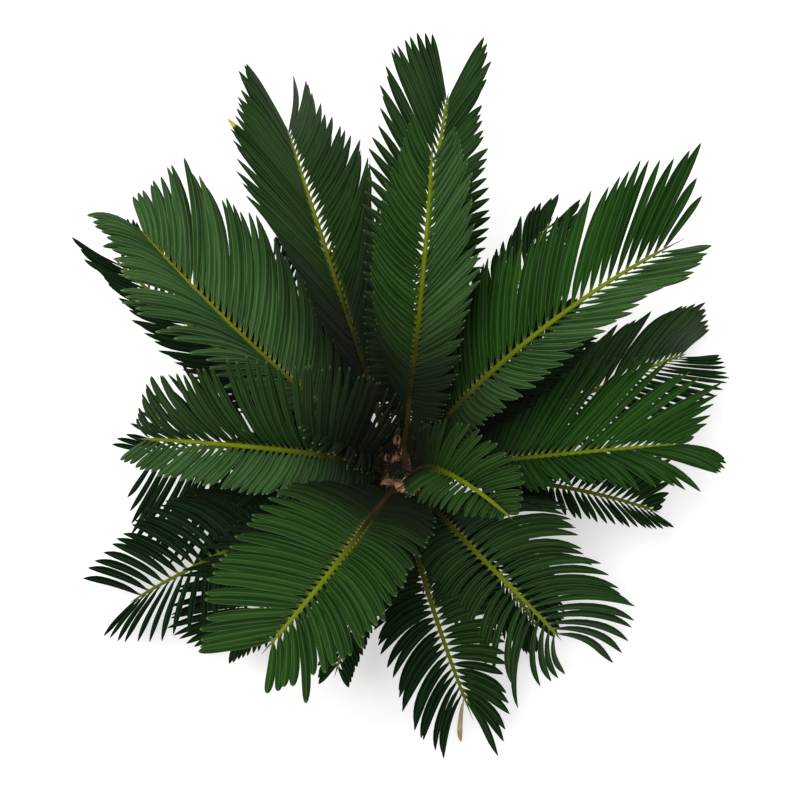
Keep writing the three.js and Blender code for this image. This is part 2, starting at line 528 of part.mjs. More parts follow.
// Where two blades would cross, the upper one passes and the lower one is cut round it;
// a stalk is never cut.
fronds.forEach((lower, i) => {
  let body = lower.body;
  fronds.forEach((other, j) => {
    if (j === i) return;
    if (j < i) body = body.subtract(other.reach.subtract(lower.keep));
    body = body.subtract(other.clear);
  });
  lower.final = biggest(body).simplify(TIDY);
});

// ------------------------------------------------------------------ the scene graph
function toGeometry(manifold) {
  const m = manifold.getMesh();
  const g = new THREE.BufferGeometry();
  g.setAttribute('position', new THREE.BufferAttribute(new Float32Array(m.vertProperties), 3));
  g.setIndex(new THREE.BufferAttribute(new Uint32Array(m.triVerts), 1));
  g.computeVertexNormals();
  return g;
}

const palm = new THREE.Group();
palm.name = 'sago_palm';

function addNode(name, manifold, color, roughness) {
  const mesh = new THREE.Mesh(toGeometry(manifold), new THREE.MeshStandardMaterial({ color, roughness, metalness: 0 }));
  mesh.name = name;
  palm.add(mesh);
}

addNode('trunk', trunk, 0x5a4330, 0.9);
addNode('crown_apex', apex, 0xa9784a, 0.95);
fronds.forEach((p, i) => {
  const young = 1 - i / fronds.length;
  addNode(p.f.name, p.final, new THREE.Color(0.03 + 0.06 * young, 0.12 + 0.16 * young, 0.04 + 0.03 * young), 0.5);
});

export default palm;
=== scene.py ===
import math

import bpy
import numpy as np
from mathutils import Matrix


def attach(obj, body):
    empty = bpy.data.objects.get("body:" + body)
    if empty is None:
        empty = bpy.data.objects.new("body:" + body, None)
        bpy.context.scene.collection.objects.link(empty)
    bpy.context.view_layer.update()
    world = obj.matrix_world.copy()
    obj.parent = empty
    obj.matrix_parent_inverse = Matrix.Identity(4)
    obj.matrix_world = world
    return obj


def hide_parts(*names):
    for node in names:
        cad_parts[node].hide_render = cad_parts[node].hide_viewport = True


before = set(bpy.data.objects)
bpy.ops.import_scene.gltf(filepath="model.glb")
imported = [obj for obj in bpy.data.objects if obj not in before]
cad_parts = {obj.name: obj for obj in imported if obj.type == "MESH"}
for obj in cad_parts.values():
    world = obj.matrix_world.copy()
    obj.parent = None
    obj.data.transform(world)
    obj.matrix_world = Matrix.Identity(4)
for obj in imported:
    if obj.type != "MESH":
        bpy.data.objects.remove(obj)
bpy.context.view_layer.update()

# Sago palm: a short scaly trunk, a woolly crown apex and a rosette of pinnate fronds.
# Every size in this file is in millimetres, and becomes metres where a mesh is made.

MM = 0.001
D2R = math.pi / 180

# ------------------------------------------------------------------ trunk and apex, as in the CAD model
TRUNK_HEIGHT = 120.0
TRUNK_PROFILE = [  # radius, height
    (57.0, 0.0), (53.9, 9.6), (49.7, 28.8), (46.5, 54.0), (46.0, 74.4),
    (48.0, 98.4), (46.1, 110.4), (40.3, 117.6), (30.0, 123.6),
]

# ------------------------------------------------------------------ one row for each frond, as in the CAD model
# name, azimuth, (seat radius, seat height), length, bare stalk, rise, end rise, swing, roll,
# left and right (leaflet, lift, spread, end spread, bulge, sickle, end sickle, droop,
# (outline at 0, 20, 45, 75 and 100 per cent))
FRONDS = [
    ("frond_01", -44.5, (18, 127), 219, 0.14, 89.6, 23.1, -5.6, 22.9,
     (76, 42, 77, 50, -25, -6, 16, 30, (0.3, 0.6, 1, 1.01, 0.15)),
     (41, 37, 125, 60, -7, -23, -3, 60, (0.52, 0.6, 1, 0.73, 0.15))),
    ("frond_02", 77.5, (14, 128), 316, 0.14, 68.4, 37, 9.1, -12.6,
     (69, 25, 30, 35, 27, 26, 22, 30, (0.42, 0.89, 1, 0.84, 0.58)),
     (94, 35, 75, 46, -21, 3, 14, 30, (0.3, 0.68, 1, 0.83, 0.35))),
    ("frond_03", 256.6, (25, 123), 293, 0.14, 74.9, 9.7, -24.7, -8,
     (67, 34, 60, 46, 14, 7, 20, 40, (0.55, 0.99, 1, 1.16, 0.62)),
     (83, 3, 107, 34, 9, 24, -4, 30, (0.47, 0.74, 1, 1.08, 0.68))),
    ("frond_04", 195.2, (18, 126), 272, 0.14, 74, -25.8, -27.1, -17.2,
     (53, 31, 74, 51, 2, 16, 19, 50, (0.45, 0.97, 1, 0.89, 0.6)),
     (108, 52, 76, 69, -25, -15, -21, 30, (0.53, 0.98, 1, 0.75, 0.15))),
    ("frond_05", 32.4, (20, 125), 348, 0.14, 74.6, -10.7, 0.6, 18.2,
     (99, 3, 50, 35, 6, 16, 10, 30, (0.4, 1.14, 1, 1.25, 0.88)),
     (62, 51, 96, 40, -20, 16, 24, 50, (0.43, 0.7, 1, 1.35, 0.69))),
    ("frond_06", 154.2, (20, 125), 334, 0.14, 50.9, -2.1, -24.6, 33,
     (149, 35, 83, 75, -25, 6, 10, 50, (0.48, 0.6, 1, 0.55, 0.41)),
     (148, 18, 86, 36, 4, 45, 29, 30, (0.43, 0.84, 1, 1.02, 0.29))),
    ("frond_07", -55.8, (24, 122), 224, 0.14, 37.1, -54.4, 22.3, 13.3,
     (91, 8, 82, 36, 18, 65, 46, 30, (0.33, 1.25, 1, 1.25, 1.12)),
     (74, 6, 124, 43, 8, 50, 52, 30, (0.4, 0.83, 1, 1.18, 0.75))),
    ("frond_08", -3, (24, 121), 263, 0.14, 33.9, -22.5, 14.4, -29.1,
     (145, 29, 79, 28, -17, -13, 17, 30, (0.35, 0.78, 1, 0.95, 0.15)),
     (74, 30, 76, 54, 14, 19, 11, 45, (0.57, 0.88, 1, 1.35, 0.64))),
    ("frond_09", 112.4, (38, 116), 374, 0.14, 53.8, -27.9, -7.9, 33.7,
     (132, 16, 49, 17, 16, 43, 18, 30, (0.38, 0.6, 1, 0.8, 1.09)),
     (146, 6, 35, 25, 25, 30, 31, 30, (0.49, 0.97, 1, 0.85, 1.24))),
    ("frond_10", 82.7, (35, 116), 374, 0.14, 58.8, -16.7, -0.8, 2.1,
     (82, 49, 102, 37, 1, 15, 21, 30, (0.41, 0.77, 1, 1.35, 0.99)),
     (75, 46, 92, 27, 10, 18, 16, 30, (0.45, 0.92, 1, 0.81, 1.3))),
    ("frond_11", 141, (29, 118), 215, 0.16, 36, -18, 3, 2,
     (70, 26, 80, 32, 0, 20, 20, 30, (0.4, 0.85, 1, 0.92, 0.5)),
     (70, 26, 80, 32, 0, 20, 20, 30, (0.4, 0.85, 1, 0.92, 0.5))),
    ("frond_12", 43, (29, 118), 215, 0.16, 34, -24, -4, 5,
     (66, 26, 80, 32, 0, 20, 20, 30, (0.4, 0.85, 1, 0.92, 0.5)),
     (66, 26, 80, 32, 0, 20, 20, 30, (0.4, 0.85, 1, 0.92, 0.5))),
    ("frond_13", 104, (40, 109), 205, 0.16, 32, -24, -5, 3,
     (66, 26, 80, 32, -4, 20, 15, 30, (0.4, 0.85, 1, 0.92, 0.5)),
     (66, 26, 80, 32, 1, 20, 21, 30, (0.4, 0.85, 1, 0.92, 0.5))),
    ("frond_14", 243, (29, 117), 120, 0.16, 32, -26, -6, 3,
     (56, 26, 80, 32, 0, 20, 20, 30, (0.4, 0.85, 1, 0.92, 0.5)),
     (56, 26, 80, 32, 0, 20, 20, 30, (0.4, 0.85, 1, 0.92, 0.5))),
    ("frond_15", 184, (30, 117), 135, 0.16, 33, -24, -5, -2,
     (58, 26, 80, 32, 0, 20, 20, 30, (0.4, 0.85, 1, 0.92, 0.5)),
     (58, 26, 80, 32, 0, 20, 20, 30, (0.4, 0.85, 1, 0.92, 0.5))),
    ("frond_16", -56, (31, 116), 100, 0.16, 24, -34, -4, -3,
     (48, 26, 80, 32, 0, 20, 20, 30, (0.4, 0.85, 1, 0.92, 0.5)),
     (48, 26, 80, 32, 0, 20, 20, 30, (0.4, 0.85, 1, 0.92, 0.5))),
    ("frond_17", 4, (31, 116), 115, 0.16, 24, -34, 4, -4,
     (50, 26, 80, 32, 0, 20, 20, 30, (0.4, 0.85, 1, 0.92, 0.5)),
     (50, 26, 80, 32, 0, 20, 20, 30, (0.4, 0.85, 1, 0.92, 0.5))),
    ("frond_18", 155.2, (33, 114), 339, 0.14, 36.9, -15.1, -22.7, 0.2,
     (69, 24, 78, 26, -9, 24, 28, 30, (0.3, 0.81, 1, 0.92, 0.98)),
     (67, 23, 68, 41, 3, 20, 17, 30, (0.31, 0.8, 1, 1.12, 0.96))),
    ("frond_19", 209.3, (32, 114), 276, 0.14, 22.9, -41.5, -11.5, 3.7,
     (67, 16, 125, 9, 2, 1, -9, 30, (0.42, 0.87, 1, 1.02, 0.97)),
     (94, 16, 58, 40, 26, 64, 23, 30, (0.3, 0.96, 1, 0.89, 0.96))),
    ("frond_20", -81.5, (30, 115), 220, 0.14, 31.4, -42, 16.9, -14.5,
     (72, 13, 111, 20, 28, 17, 31, 30, (0.35, 0.76, 1, 0.8, 1.05)),
     (69, 13, 111, 64, -2, 41, 50, 30, (0.34, 0.86, 1, 1.08, 0.87))),
    ("frond_21", 18.1, (33, 113), 325, 0.14, 24.7, -38.5, 16.4, -5.7,
     (96, 30, 60, 21, -4, 20, 20, 30, (0.43, 0.63, 1, 1.35, 0.85)),
     (84, 20, 83, 24, 7, 6, 25, 30, (0.43, 0.6, 1, 1.11, 0.75))),
    ("frond_22", 54, (32, 114), 285, 0.14, 33.3, -14.9, 10.6, 4.1,
     (54, 25, 79, 16, -1, 29, 21, 30, (0.44, 0.82, 1, 1.18, 0.83)),
     (60, 26, 75, 29, -3, 21, 24, 30, (0.37, 0.81, 1, 0.97, 0.93))),
    ("frond_23", 170.5, (33, 114), 232, 0.14, 28.7, -33.4, 12.1, -22.8,
     (138, 12, 84, 44, 7, 26, 18, 30, (0.39, 0.85, 1, 0.93, 0.4)),
     (110, 26, 81, 30, 1, 7, 14, 30, (0.45, 0.86, 1, 0.57, 0.47))),
    ("frond_24", -5.5, (34, 112), 236, 0.2, 16.4, -31.4, -3.2, -6.5,
     (69, 22, 76, 37, 4, 33, 10, 30, (0.36, 0.97, 1, 1.22, 0.15)),
     (38, 25, 110, 30, -1, 9, 15, 30, (0.36, 0.62, 1, 1.07, 0.78))),
    ("frond_25", 226.9, (34, 111), 209, 0.2, 18, -42, -7.1, -4.7,
     (53, 23, 84, 35, -1, 12, 13, 30, (0.41, 0.86, 1, 0.76, 0.53)),
     (105, 25, 79, 32, 0, 27, 25, 30, (0.37, 0.84, 1, 0.91, 0.35))),
    ("frond_26", -106.1, (34, 111), 176, 0.2, 18.9, -41.7, -4.7, -4,
     (29, 19, 77, 49, -6, 7, 12, 30, (0.38, 0.84, 1, 0.94, 0.8)),
     (41, 24, 84, 34, 3, 25, 22, 30, (0.42, 0.88, 1, 0.8, 0.7))),
    ("frond_27", 122.2, (40, 109), 274, 0.14, 23.8, -35.6, -8.6, 0.1,
     (80, 24, 80, 32, -3, 20, 16, 30, (0.4, 0.61, 1, 0.91, 0.41)),
     (79, 24, 80, 32, -3, 20, 22, 30, (0.4, 0.61, 1, 0.91, 0.41))),
    ("frond_28", 90, (36, 104), 255, 0.2, 18, -44, -6, 3,
     (74, 24, 80, 32, 0, 20, 20, 30, (0.4, 0.85, 1, 0.92, 0.5)),
     (74, 24, 80, 32, 1, 20, 20, 30, (0.4, 0.85, 1, 0.92, 0.5))),
    ("frond_29", 36, (36, 103), 240, 0.2, 16, -42, 6, 4,
     (72, 24, 80, 32, -1, 20, 20, 30, (0.4, 0.85, 1, 0.92, 0.5)),
     (72, 24, 80, 32, -7, 20, 22, 30, (0.4, 0.85, 1, 0.92, 0.5))),
    ("frond_30", -44, (36, 103), 175, 0.2, 14, -46, -6, -3,
     (60, 24, 80, 32, -3, 20, 29, 30, (0.4, 0.85, 1, 0.92, 0.5)),
     (60, 24, 80, 32, -2, 20, 20, 30, (0.4, 0.85, 1, 0.92, 0.5))),
    ("frond_31", -154, (36, 103), 180, 0.2, 14, -44, 5, -4,
     (62, 24, 80, 32, 2, 20, 18, 30, (0.4, 0.85, 1, 0.92, 0.5)),
     (62, 24, 80, 32, -7, 20, 21, 30, (0.4, 0.85, 1, 0.92, 0.5))),
]


# ------------------------------------------------------------------ looks of each frond
# how many pairs of leaflets, their width, which green it wears, how dull its stalk is, how blunt its leaflets end, and
# how far out the painted shade of the crown's middle reaches on its stalk and leaflets
LOOKS = {
    "frond_01": dict(painted_shade_reach=0.36, inner=(8, 4), pairs=32, width=6.0, green=("fresh", "bright"), blunt=0.6),
    "frond_02": dict(painted_shade_reach=0.22, pairs=46, width=8.0, green=("bright", "light")),
    "frond_03": dict(painted_shade_reach=0.5, inner=(4, 20), pairs=52, width=8.2, green=("bright", "bright"), blunt=0.7),
    "frond_04": dict(painted_shade_reach=0.12, inner=(18, 3), pairs=46, width=6.8, green=("light", "mid"), blunt=0.4),
    "frond_05": dict(slim=(0.9, 1.0), pairs=40, width=9.4, tip=25.0, green=("vivid", "light")),
    "frond_06": dict(twisted=((-1, 26, 48),), pairs=50, width=9.2, straight=0.55, green=("light", "light"), blunt=0.3),
    "frond_07": dict(slim=(0.95, 0.80), pairs=30, width=9.0, light=1.06, green=("mid", "mid"), stalk=0.35),
    "frond_08": dict(twisted=((1, 12, 50),), slim=(0.74, 1.0), pairs=35, width=10.4, tip=14.0, green=("vivid", "vivid")),
    "frond_09": dict(slim=(1.0, 0.84), twisted=((-1, 30, 42),), painted_shade_reach=0.16, inner=(6, 6), pairs=50, width=10.0, straight=0.45, green=("mid", "mid")),
    "frond_10": dict(twisted=((-1, 30, 24), (1, 30, 36)), inner=(6, 6), pairs=48, width=10.2, green=("mid", "mid")),
    "frond_18": dict(pairs=38, width=8.4, green=("shade", "shade")),
    "frond_19": dict(pairs=31, width=9.0, green=("shade", "shade")),
    "frond_20": dict(pairs=38, width=8.8, green=("deep", "shade"), stalk=0.8, tip=20.0),
    "frond_21": dict(pairs=36, width=9.6, green=("mid", "deep"), stalk=0.2),
    "frond_22": dict(light=0.9, pairs=33, width=8.0, green=("deep", "deep")),
    "frond_23": dict(pairs=28, width=8.0, green=("shade", "shade")),
    "frond_24": dict(pairs=34, width=7.8, green=("deep", "deep")),
}
PLAIN_LOOK = dict(pairs=30, width=8.0, green=("shade", "shade"), stalk=0.5, blunt=0.0)


# leaflets that differ from their row: side, number (from the foot, or back from the tip), turn, raise, length, width, material
ODD = {
    "frond_01": [(1, 0, -38, 64, 2.07, 1, None), (1, 1, -38, 54, 2.20, 1, None), (1, 2, -38, 55, 2.04, 1, None),
                 (1, 3, -38, 49, 1.72, 1, None), (1, 4, -38, 43, 1.50, 1, None), (1, 5, -38, 37, 1.30, 1, None),
                 (1, 6, -38, 29, 1.03, 1, None), (1, 7, -38, 23, 0.86, 1, None), (1, 8, -38, 4, 0.77, 1, None)],
    "frond_09": [(-1, 40, 2, 0, 1.05, 1.5, 6)],
    "frond_05": [(-1, -6, 3.7, 20, 0.95, 1.1, None), (-1, -5, 2.4, 20, 0.99, 1.3, None), (-1, -4, -1.4, 20, 1.13, 1.45, None),
                 (-1, -3, 3.4, 20, 1.2, 1.5, None), (-1, -2, -1.2, 20, 0.86, 1.4, None), (-1, -1, -4.4, 20, 0.74, 1.1, None)],
    "frond_20": [(1, -1, 0, 20, 0.66, 1.3, 3)],
    "frond_03": [(-1, -5, 2, 0, 1.3, 0.9, None)],
    "frond_07": [(1, -5, 6, 0, 1.26, 0.9, None)],
}


def look(name):
    # light scales the painted shade near the crown's middle: below 1, as on the lower fronds, it reaches further out
    return {**PLAIN_LOOK, "straight": 1.0, "slim": (1.0, 1.0), "stalk": 0.0 if name < "frond_11" else 0.5, "inner": (18, 18) if name < "frond_11" else (5, 5),
            "light": 1.0 if name < "frond_11" else 0.65, **LOOKS.get(name, {})}


# ------------------------------------------------------------------ meshes
class Build:
    """Gathers the corners and faces of one joined piece."""

    def __init__(self):
        self.verts, self.faces, self.mats, self.bake, self.leaf, self.tone, self.along = [], [], [], [], [], [], []
        self.count = 0

    def add(self, verts, faces, mats, bake, leaf, tone, along=None):
        """verts n by 3 in millimetres; faces m by 3 or 4; bake and leaf m by 3 or 4 by 2; tone and along n."""
        verts = np.asarray(verts, float).reshape(-1, 3)
        n, m = len(verts), len(faces)
        self.verts.append(verts)
        self.faces.append(np.asarray(faces) + self.count)
        self.mats.append(np.broadcast_to(np.asarray(mats), (m,)))
        self.bake.append(np.asarray(bake, float))
        self.leaf.append(np.asarray(leaf, float))
        self.tone.append(np.broadcast_to(np.asarray(tone, float), (n,)))
        self.along.append(np.broadcast_to(np.asarray(0.0 if along is None else along, float), (n,)))
        self.count += n

    def mesh(self, name, materials, smooth_angle=50):
        me = bpy.data.meshes.new(name)
        verts = np.concatenate(self.verts) * MM
        sizes = np.concatenate([np.full(len(f), f.shape[1]) for f in self.faces])
        corners = np.concatenate([f.reshape(-1) for f in self.faces])
        starts = np.concatenate([[0], np.cumsum(sizes)[:-1]])
        me.vertices.add(len(verts))
        me.vertices.foreach_set("co", verts.astype(np.float32).ravel())
        me.loops.add(len(corners))
        me.loops.foreach_set("vertex_index", corners.astype(np.int32))
        me.polygons.add(len(sizes))
        me.polygons.foreach_set("loop_start", starts.astype(np.int32))
        me.polygons.foreach_set("material_index", np.concatenate(self.mats).astype(np.int32))
        me.polygons.foreach_set("use_smooth", np.ones(len(sizes), bool))
        for layer, parts in (("OFBake", self.bake), ("leaf", self.leaf)):
            uv = me.uv_layers.new(name=layer)
            flat = np.concatenate([p.reshape(-1, 2) for p in parts])
            uv.data.foreach_set("uv", flat.astype(np.float32).ravel())
        for attribute, parts in (("tone", self.tone), ("along", self.along)):
            a = me.attributes.new(attribute, "FLOAT", "POINT")
            a.data.foreach_set("value", np.concatenate(parts).astype(np.float32))
        me.update(calc_edges=True)
        me.validate()
        me.set_sharp_from_angle(angle=smooth_angle * D2R)
        for m in materials:
            me.materials.append(m)
        ob = bpy.data.objects.new(name, me)
        bpy.context.scene.collection.objects.link(ob)
        return ob


def unit(v):
    return v / np.maximum(np.linalg.norm(v, axis=-1, keepdims=True), 1e-9)


def wander(rng, u, waves=3):
    """A smooth wavy line over u, about -1 to 1."""
    out = np.zeros_like(u)
    for k in range(1, waves + 1):
        out += np.sin(2 * math.pi * (k * 0.9 * u + rng.random())) / k
    return out / 1.6


# ------------------------------------------------------------------ fronds
NS = 40
OUTLINE_AT = [0, 0.06, 0.2, 0.45, 0.75, 1]


def read(row):
    name, az, seat, length, bare, e0, e1, swing, roll, left, right = row
    return dict(name=name, az=az, r0=seat[0], z0=seat[1], L=length, s0=bare, e0=e0, e1=e1, bend=swing, roll=roll,
                left=left, right=right)


def rachis(f):
    """Points and frames along the stalk: tangent, up side and right side."""
    s = np.linspace(0, 1, NS + 1)
    e = (f["e0"] + (f["e1"] - f["e0"]) * s) * D2R
    a = (f["az"] + f["bend"] * s) * D2R
    T = np.stack([np.cos(e) * np.cos(a), np.cos(e) * np.sin(a), np.sin(e)], -1)
    N = np.stack([-np.sin(e) * np.cos(a), -np.sin(e) * np.sin(a), np.cos(e)], -1)
    S = np.cross(T, N)
    r = f["roll"] * D2R
    N2, S2 = N * math.cos(r) + S * math.sin(r), S * math.cos(r) - N * math.sin(r)
    base = np.array([f["r0"] * math.cos(f["az"] * D2R), f["r0"] * math.sin(f["az"] * D2R), f["z0"]])
    P = np.vstack([base, base + np.cumsum((T[1:] + T[:-1]) / 2 * f["L"] / NS, 0)])
    return s, P, T, N2, S2


def at(s, A, where):
    return np.stack([np.interp(where, s, A[:, k]) for k in range(3)], -1)


def half_stalk(f, s):
    return np.interp(s, [0, f["s0"], 1], [4.2, 2.9, 1.45])


STEPS = 24
# Down a leaflet: place, half width as a part of the widest, thickness in millimetres
STATION = np.array([0, 0.022, 0.08, 0.16, 0.27, 0.39, 0.51, 0.63, 0.74, 0.84, 0.92, 0.975, 1.0])
WIDE = np.array([0.30, 0.34, 0.54, 0.78, 0.92, 0.98, 1.0, 0.98, 0.89, 0.68, 0.43, 0.20, 0.04])
WIDE_BLUNT = np.array([0.30, 0.34, 0.54, 0.79, 0.93, 0.99, 1.0, 1.0, 1.0, 0.97, 0.84, 0.58, 0.20])
THICK = np.array([1.5, 1.2, 0.75, 0.42, 0.34, 0.32, 0.32, 0.32, 0.31, 0.30, 0.28, 0.24, 0.20])
CURL = np.array([0.0, 0.05, 0.2, 0.3, 0.34, 0.34, 0.34, 0.34, 0.34, 0.34, 0.32, 0.3, 0.2])
ACROSS = np.array([-1, -0.5, 0, 0.5, 1, 0.5, 0, -0.5])  # round a leaflet's section: over the top, back under
KT = len(STATION)


def leaflets(f, side, rng, lk):
    """Centre lines and frames of one row of leaflets."""
    m, lift, a0, a1, bulge, sickle, sickle1, droop, o = f["right"] if side > 0 else f["left"]
    shape = [o[0], 0.5 * (o[0] + o[1]), o[1], o[2], o[3], o[4]]
    s, P, T, N, S = rachis(f)
    # leaflets stand closer together near the foot of the blade
    grid = np.linspace(0, 1, 201)
    count = np.concatenate([[0], np.cumsum(1 / np.interp(grid[1:], [0, 0.2, 0.45, 0.75, 1], [0.38, 0.6, 0.85, 1, 1.15])) / 200])
    n = lk["pairs"]
    u = np.interp((np.arange(n) + (0.3 if side > 0 else 0.7)) / n, count / count[-1], grid)
    u = np.clip(u + rng.normal(0, 0.06 / n, n), 0, 0.995)
    # one to three neighbours cling together, and a gap follows
    lean, raised = np.zeros(n), np.zeros(n)
    i = 0
    while i < n:
        k = min(n - i, int(rng.choice([1, 2, 3], p=[0.5, 0.36, 0.14])))
        turn, rise = rng.normal(0, 1.1), rng.normal(0, 1.3)
        lean[i:i + k] = turn + 1.1 * (np.arange(k) - 0.5 * (k - 1))
        raised[i:i + k] = rise
        i += k
    extra = lk["inner"][side > 0]
    if extra:  # short narrow leaflets between the thorns and the blade
        reach = 0.0075 * extra
        u = np.concatenate([-reach + reach * (np.arange(extra) + 0.4 * rng.random(extra)) / extra, u])
        lean, raised = [np.concatenate([rng.normal(0, 2.5, extra), w]) for w in (lean, raised)]
        n += extra
    w = np.maximum(u, 0)
    sr = f["s0"] + (1 - f["s0"]) * u
    Pu, Tu, Nu, Su = at(s, P, sr), at(s, T, sr), at(s, N, sr), at(s, S, sr)
    hw = half_stalk(f, sr)
    al = (a0 + (a1 - a0) * w ** 1.3 + bulge * 4 * w * (1 - w)) + 1.3 * wander(rng, u * 2.5) + lean + rng.normal(0, 0.5, n)
    ln = m * np.interp(u, OUTLINE_AT, shape) * np.clip(1 + 4.5 * u, 0.3, 1) * (1 + 0.012 * wander(rng, u * 2) + rng.normal(0, 0.014, n))
    v = lift + 1.6 * wander(rng, u * 2.5) + raised + rng.normal(0, 0.7, n)
    dr = droop * (1 + rng.normal(0, 0.12, n))
    fa = (sickle + (sickle1 - sickle) * w) * (1 + rng.normal(0, 0.06, n)) * lk["straight"]
    al -= (1 - lk["straight"]) * 0.5 * (sickle + (sickle1 - sickle) * w)  # straighter, towards the same tip
    own_width = np.ones(n)
    for s_, i_, turn, rise, longer, wider, material in ODD.get(f["name"], ()):
        if s_ == side:
            al[i_] += turn
            v[i_] += rise
            ln[i_] *= longer
            own_width[i_] = wider
    start = Pu + Su * (side * hw * 0.72)[:, None] + Nu * (hw * 0.30)[:, None]
    # the centre line starts beside the stalk's middle, so that its tip stays where the CAD blade has it
    Q = [Pu.copy()]
    for k in range(STEPS):
        t = (k + 0.5) / STEPS
        A, V = np.maximum(al - fa * t, 3.0) * D2R, (v - dr * t * t) * D2R
        d = np.cos(A)[:, None] * Tu + np.sin(A)[:, None] * (side * np.cos(V)[:, None] * Su + np.sin(V)[:, None] * Nu)
        Q.append(Q[-1] + d * (ln / STEPS)[:, None])
    Q = np.stack(Q, 1)
    tt = np.linspace(0, 1, STEPS + 1)
    Q = Q + (start - Pu)[:, None] * ((1 - tt) ** 3)[None, :, None]
    where = STATION
    C = np.stack([[np.interp(where, tt, q[:, k]) for k in range(3)] for q in Q]).transpose(0, 2, 1)
    D = unit(np.gradient(Q, axis=1))
    D = unit(np.stack([[np.interp(where, tt, q[:, k]) for k in range(3)] for q in D]).transpose(0, 2, 1))
    W = unit(Tu[:, None] - (D * Tu[:, None]).sum(-1, keepdims=True) * D)
    U = side * np.cross(D, W)
    twist = (-(lk.get("shingle", 11.0) + rng.normal(0, 2.0, n)))[:, None] - 12 * np.exp(-where / 0.06)[None]
    for s_, last, extra_twist in lk.get("twisted", ()):  # leaflets near the tip that turn their faces up
        if s_ == side:
            twist[-last:] += extra_twist * np.linspace(0.3, 1, last)[:, None]
    tw = twist * D2R
    W, U = W * np.cos(tw)[..., None] + U * np.sin(tw)[..., None], U * np.cos(tw)[..., None] - W * np.sin(tw)[..., None]
    width = lk["width"] * np.interp(u, [-0.14, 0, 0.06, 0.2, 0.6, 0.9, 1], [0.3, 0.42, 0.62, 0.94, 1, 1, 0.88]) * (1 + rng.normal(0, 0.03, n)) * own_width * lk["slim"][side > 0]
    return u, C, D, W, U, width, ln


def leaflet_rings(C, W, U, width, blunt):
    """The 8 points round each leaflet at each station."""
    profile = WIDE * (1 - blunt) + WIDE_BLUNT * blunt
    h = 0.5 * width[:, None] * profile[None]
    top = -CURL[None, :, None] * h[..., None] * np.abs(ACROSS)[None, None] ** 2.2
    top = top - 0.05 * h[..., None] * (ACROSS == 0)[None, None]
    under = np.array([0, 0, 0, 0, 0, 1.0, 1.25, 1.0])
    z = top - under[None, None] * THICK[None, :, None]
    return C[:, :, None] + W[:, :, None] * (ACROSS[None, None] * h[..., None])[..., None] + U[:, :, None] * z[..., None]


def cell(k, cols, rows, x, y):
    """Place of a leaflet face's own square in the bake map."""
    return np.stack([((k % cols) + 0.07 + 0.86 * x) / cols, ((k // cols) + 0.03 + 0.94 * y) / rows], -1)


ACROSS_TOP = np.array([0, 0.25, 0.5, 0.75, 1.0])
ACROSS_UNDER = np.array([1.0, 0.75, 0.5, 0.25, 0.0])


def add_leaflets(b, rings, side, first, cols, rows, tone, paint, along):
    """Faces of a row of leaflets. paint gives each leaflet's material numbers for top, under and base."""
    n = len(rings)
    verts = rings.reshape(-1, 3)
    i, j, p = np.meshgrid(np.arange(n), np.arange(KT - 1), np.arange(8), indexing="ij")
    i, j, p = i.ravel(), j.ravel(), p.ravel()
    q = (p + 1) % 8
    idx = lambda jj, pp: (i * KT + jj) * 8 + pp
    quad = np.stack([idx(j, p), idx(j, q), idx(j + 1, q), idx(j + 1, p)], 1)
    is_top = p < 4
    xa = np.where(is_top, ACROSS_TOP[np.clip(p, 0, 4)], ACROSS_UNDER[np.clip(p - 4, 0, 4)])
    xb = np.where(is_top, ACROSS_TOP[np.clip(p + 1, 0, 4)], ACROSS_UNDER[np.clip(p - 3, 0, 4)])
    ya, yb = STATION[j], STATION[j + 1]
    x = np.stack([xa, xb, xb, xa], 1)
    y = np.stack([ya, ya, yb, yb], 1)
    k = 2 * (first + i) + np.where(is_top, 0, 1)
    bake = cell(k[:, None].repeat(4, 1), cols, rows, x, y)
    leaf = np.stack([x, y], -1)
    mats = np.where(is_top, paint[i, 0], paint[i, 1])
    mats = np.where(j == 0, paint[i, 2], mats)
    if side > 0:
        quad, bake, leaf = quad[:, ::-1], bake[:, ::-1], leaf[:, ::-1]
    b.add(verts, quad, mats, bake, leaf, np.repeat(tone, KT * 8), np.repeat(along, KT * 8))
    # closed ends
    ends, eb, el, em = [], [], [], []
    for jj, flip in ((0, side < 0), (KT - 1, side > 0)):
        for ring in ((0, 1, 7), (1, 2, 6, 7), (2, 3, 5, 6), (3, 4, 5)):
            if len(ring) == 3:
                ring = ring + (ring[-1],)
            r = np.array(ring)
            f = (np.arange(n)[:, None] * KT + jj) * 8 + r[None]
            if flip:
                f = f[:, ::-1]
            ends.append((f, jj))
    base0 = b.count - len(verts)
    for f, jj in ends:
        tri = f[:, 0] == f[:, 1]
        keep = [0, 1, 2, 3]
        if (f[0, 2] == f[0, 3]):
            keep = [0, 1, 2]
        elif (f[0, 0] == f[0, 1]):
            keep = [1, 2, 3]
        f = f[:, keep]
        ww = f.shape[1]
        kk = 2 * (first + np.arange(n)) + 1
        bk = cell(kk[:, None].repeat(ww, 1), cols, rows, np.full((n, ww), 0.5), np.full((n, ww), STATION[jj]))
        lf = np.stack([np.full((n, ww), 0.5), np.full((n, ww), STATION[jj])], -1)
        b.faces.append(f + base0)
        b.mats.append(paint[:, 2] if jj == 0 else paint[:, 1])
        b.bake.append(bk)
        b.leaf.append(lf)


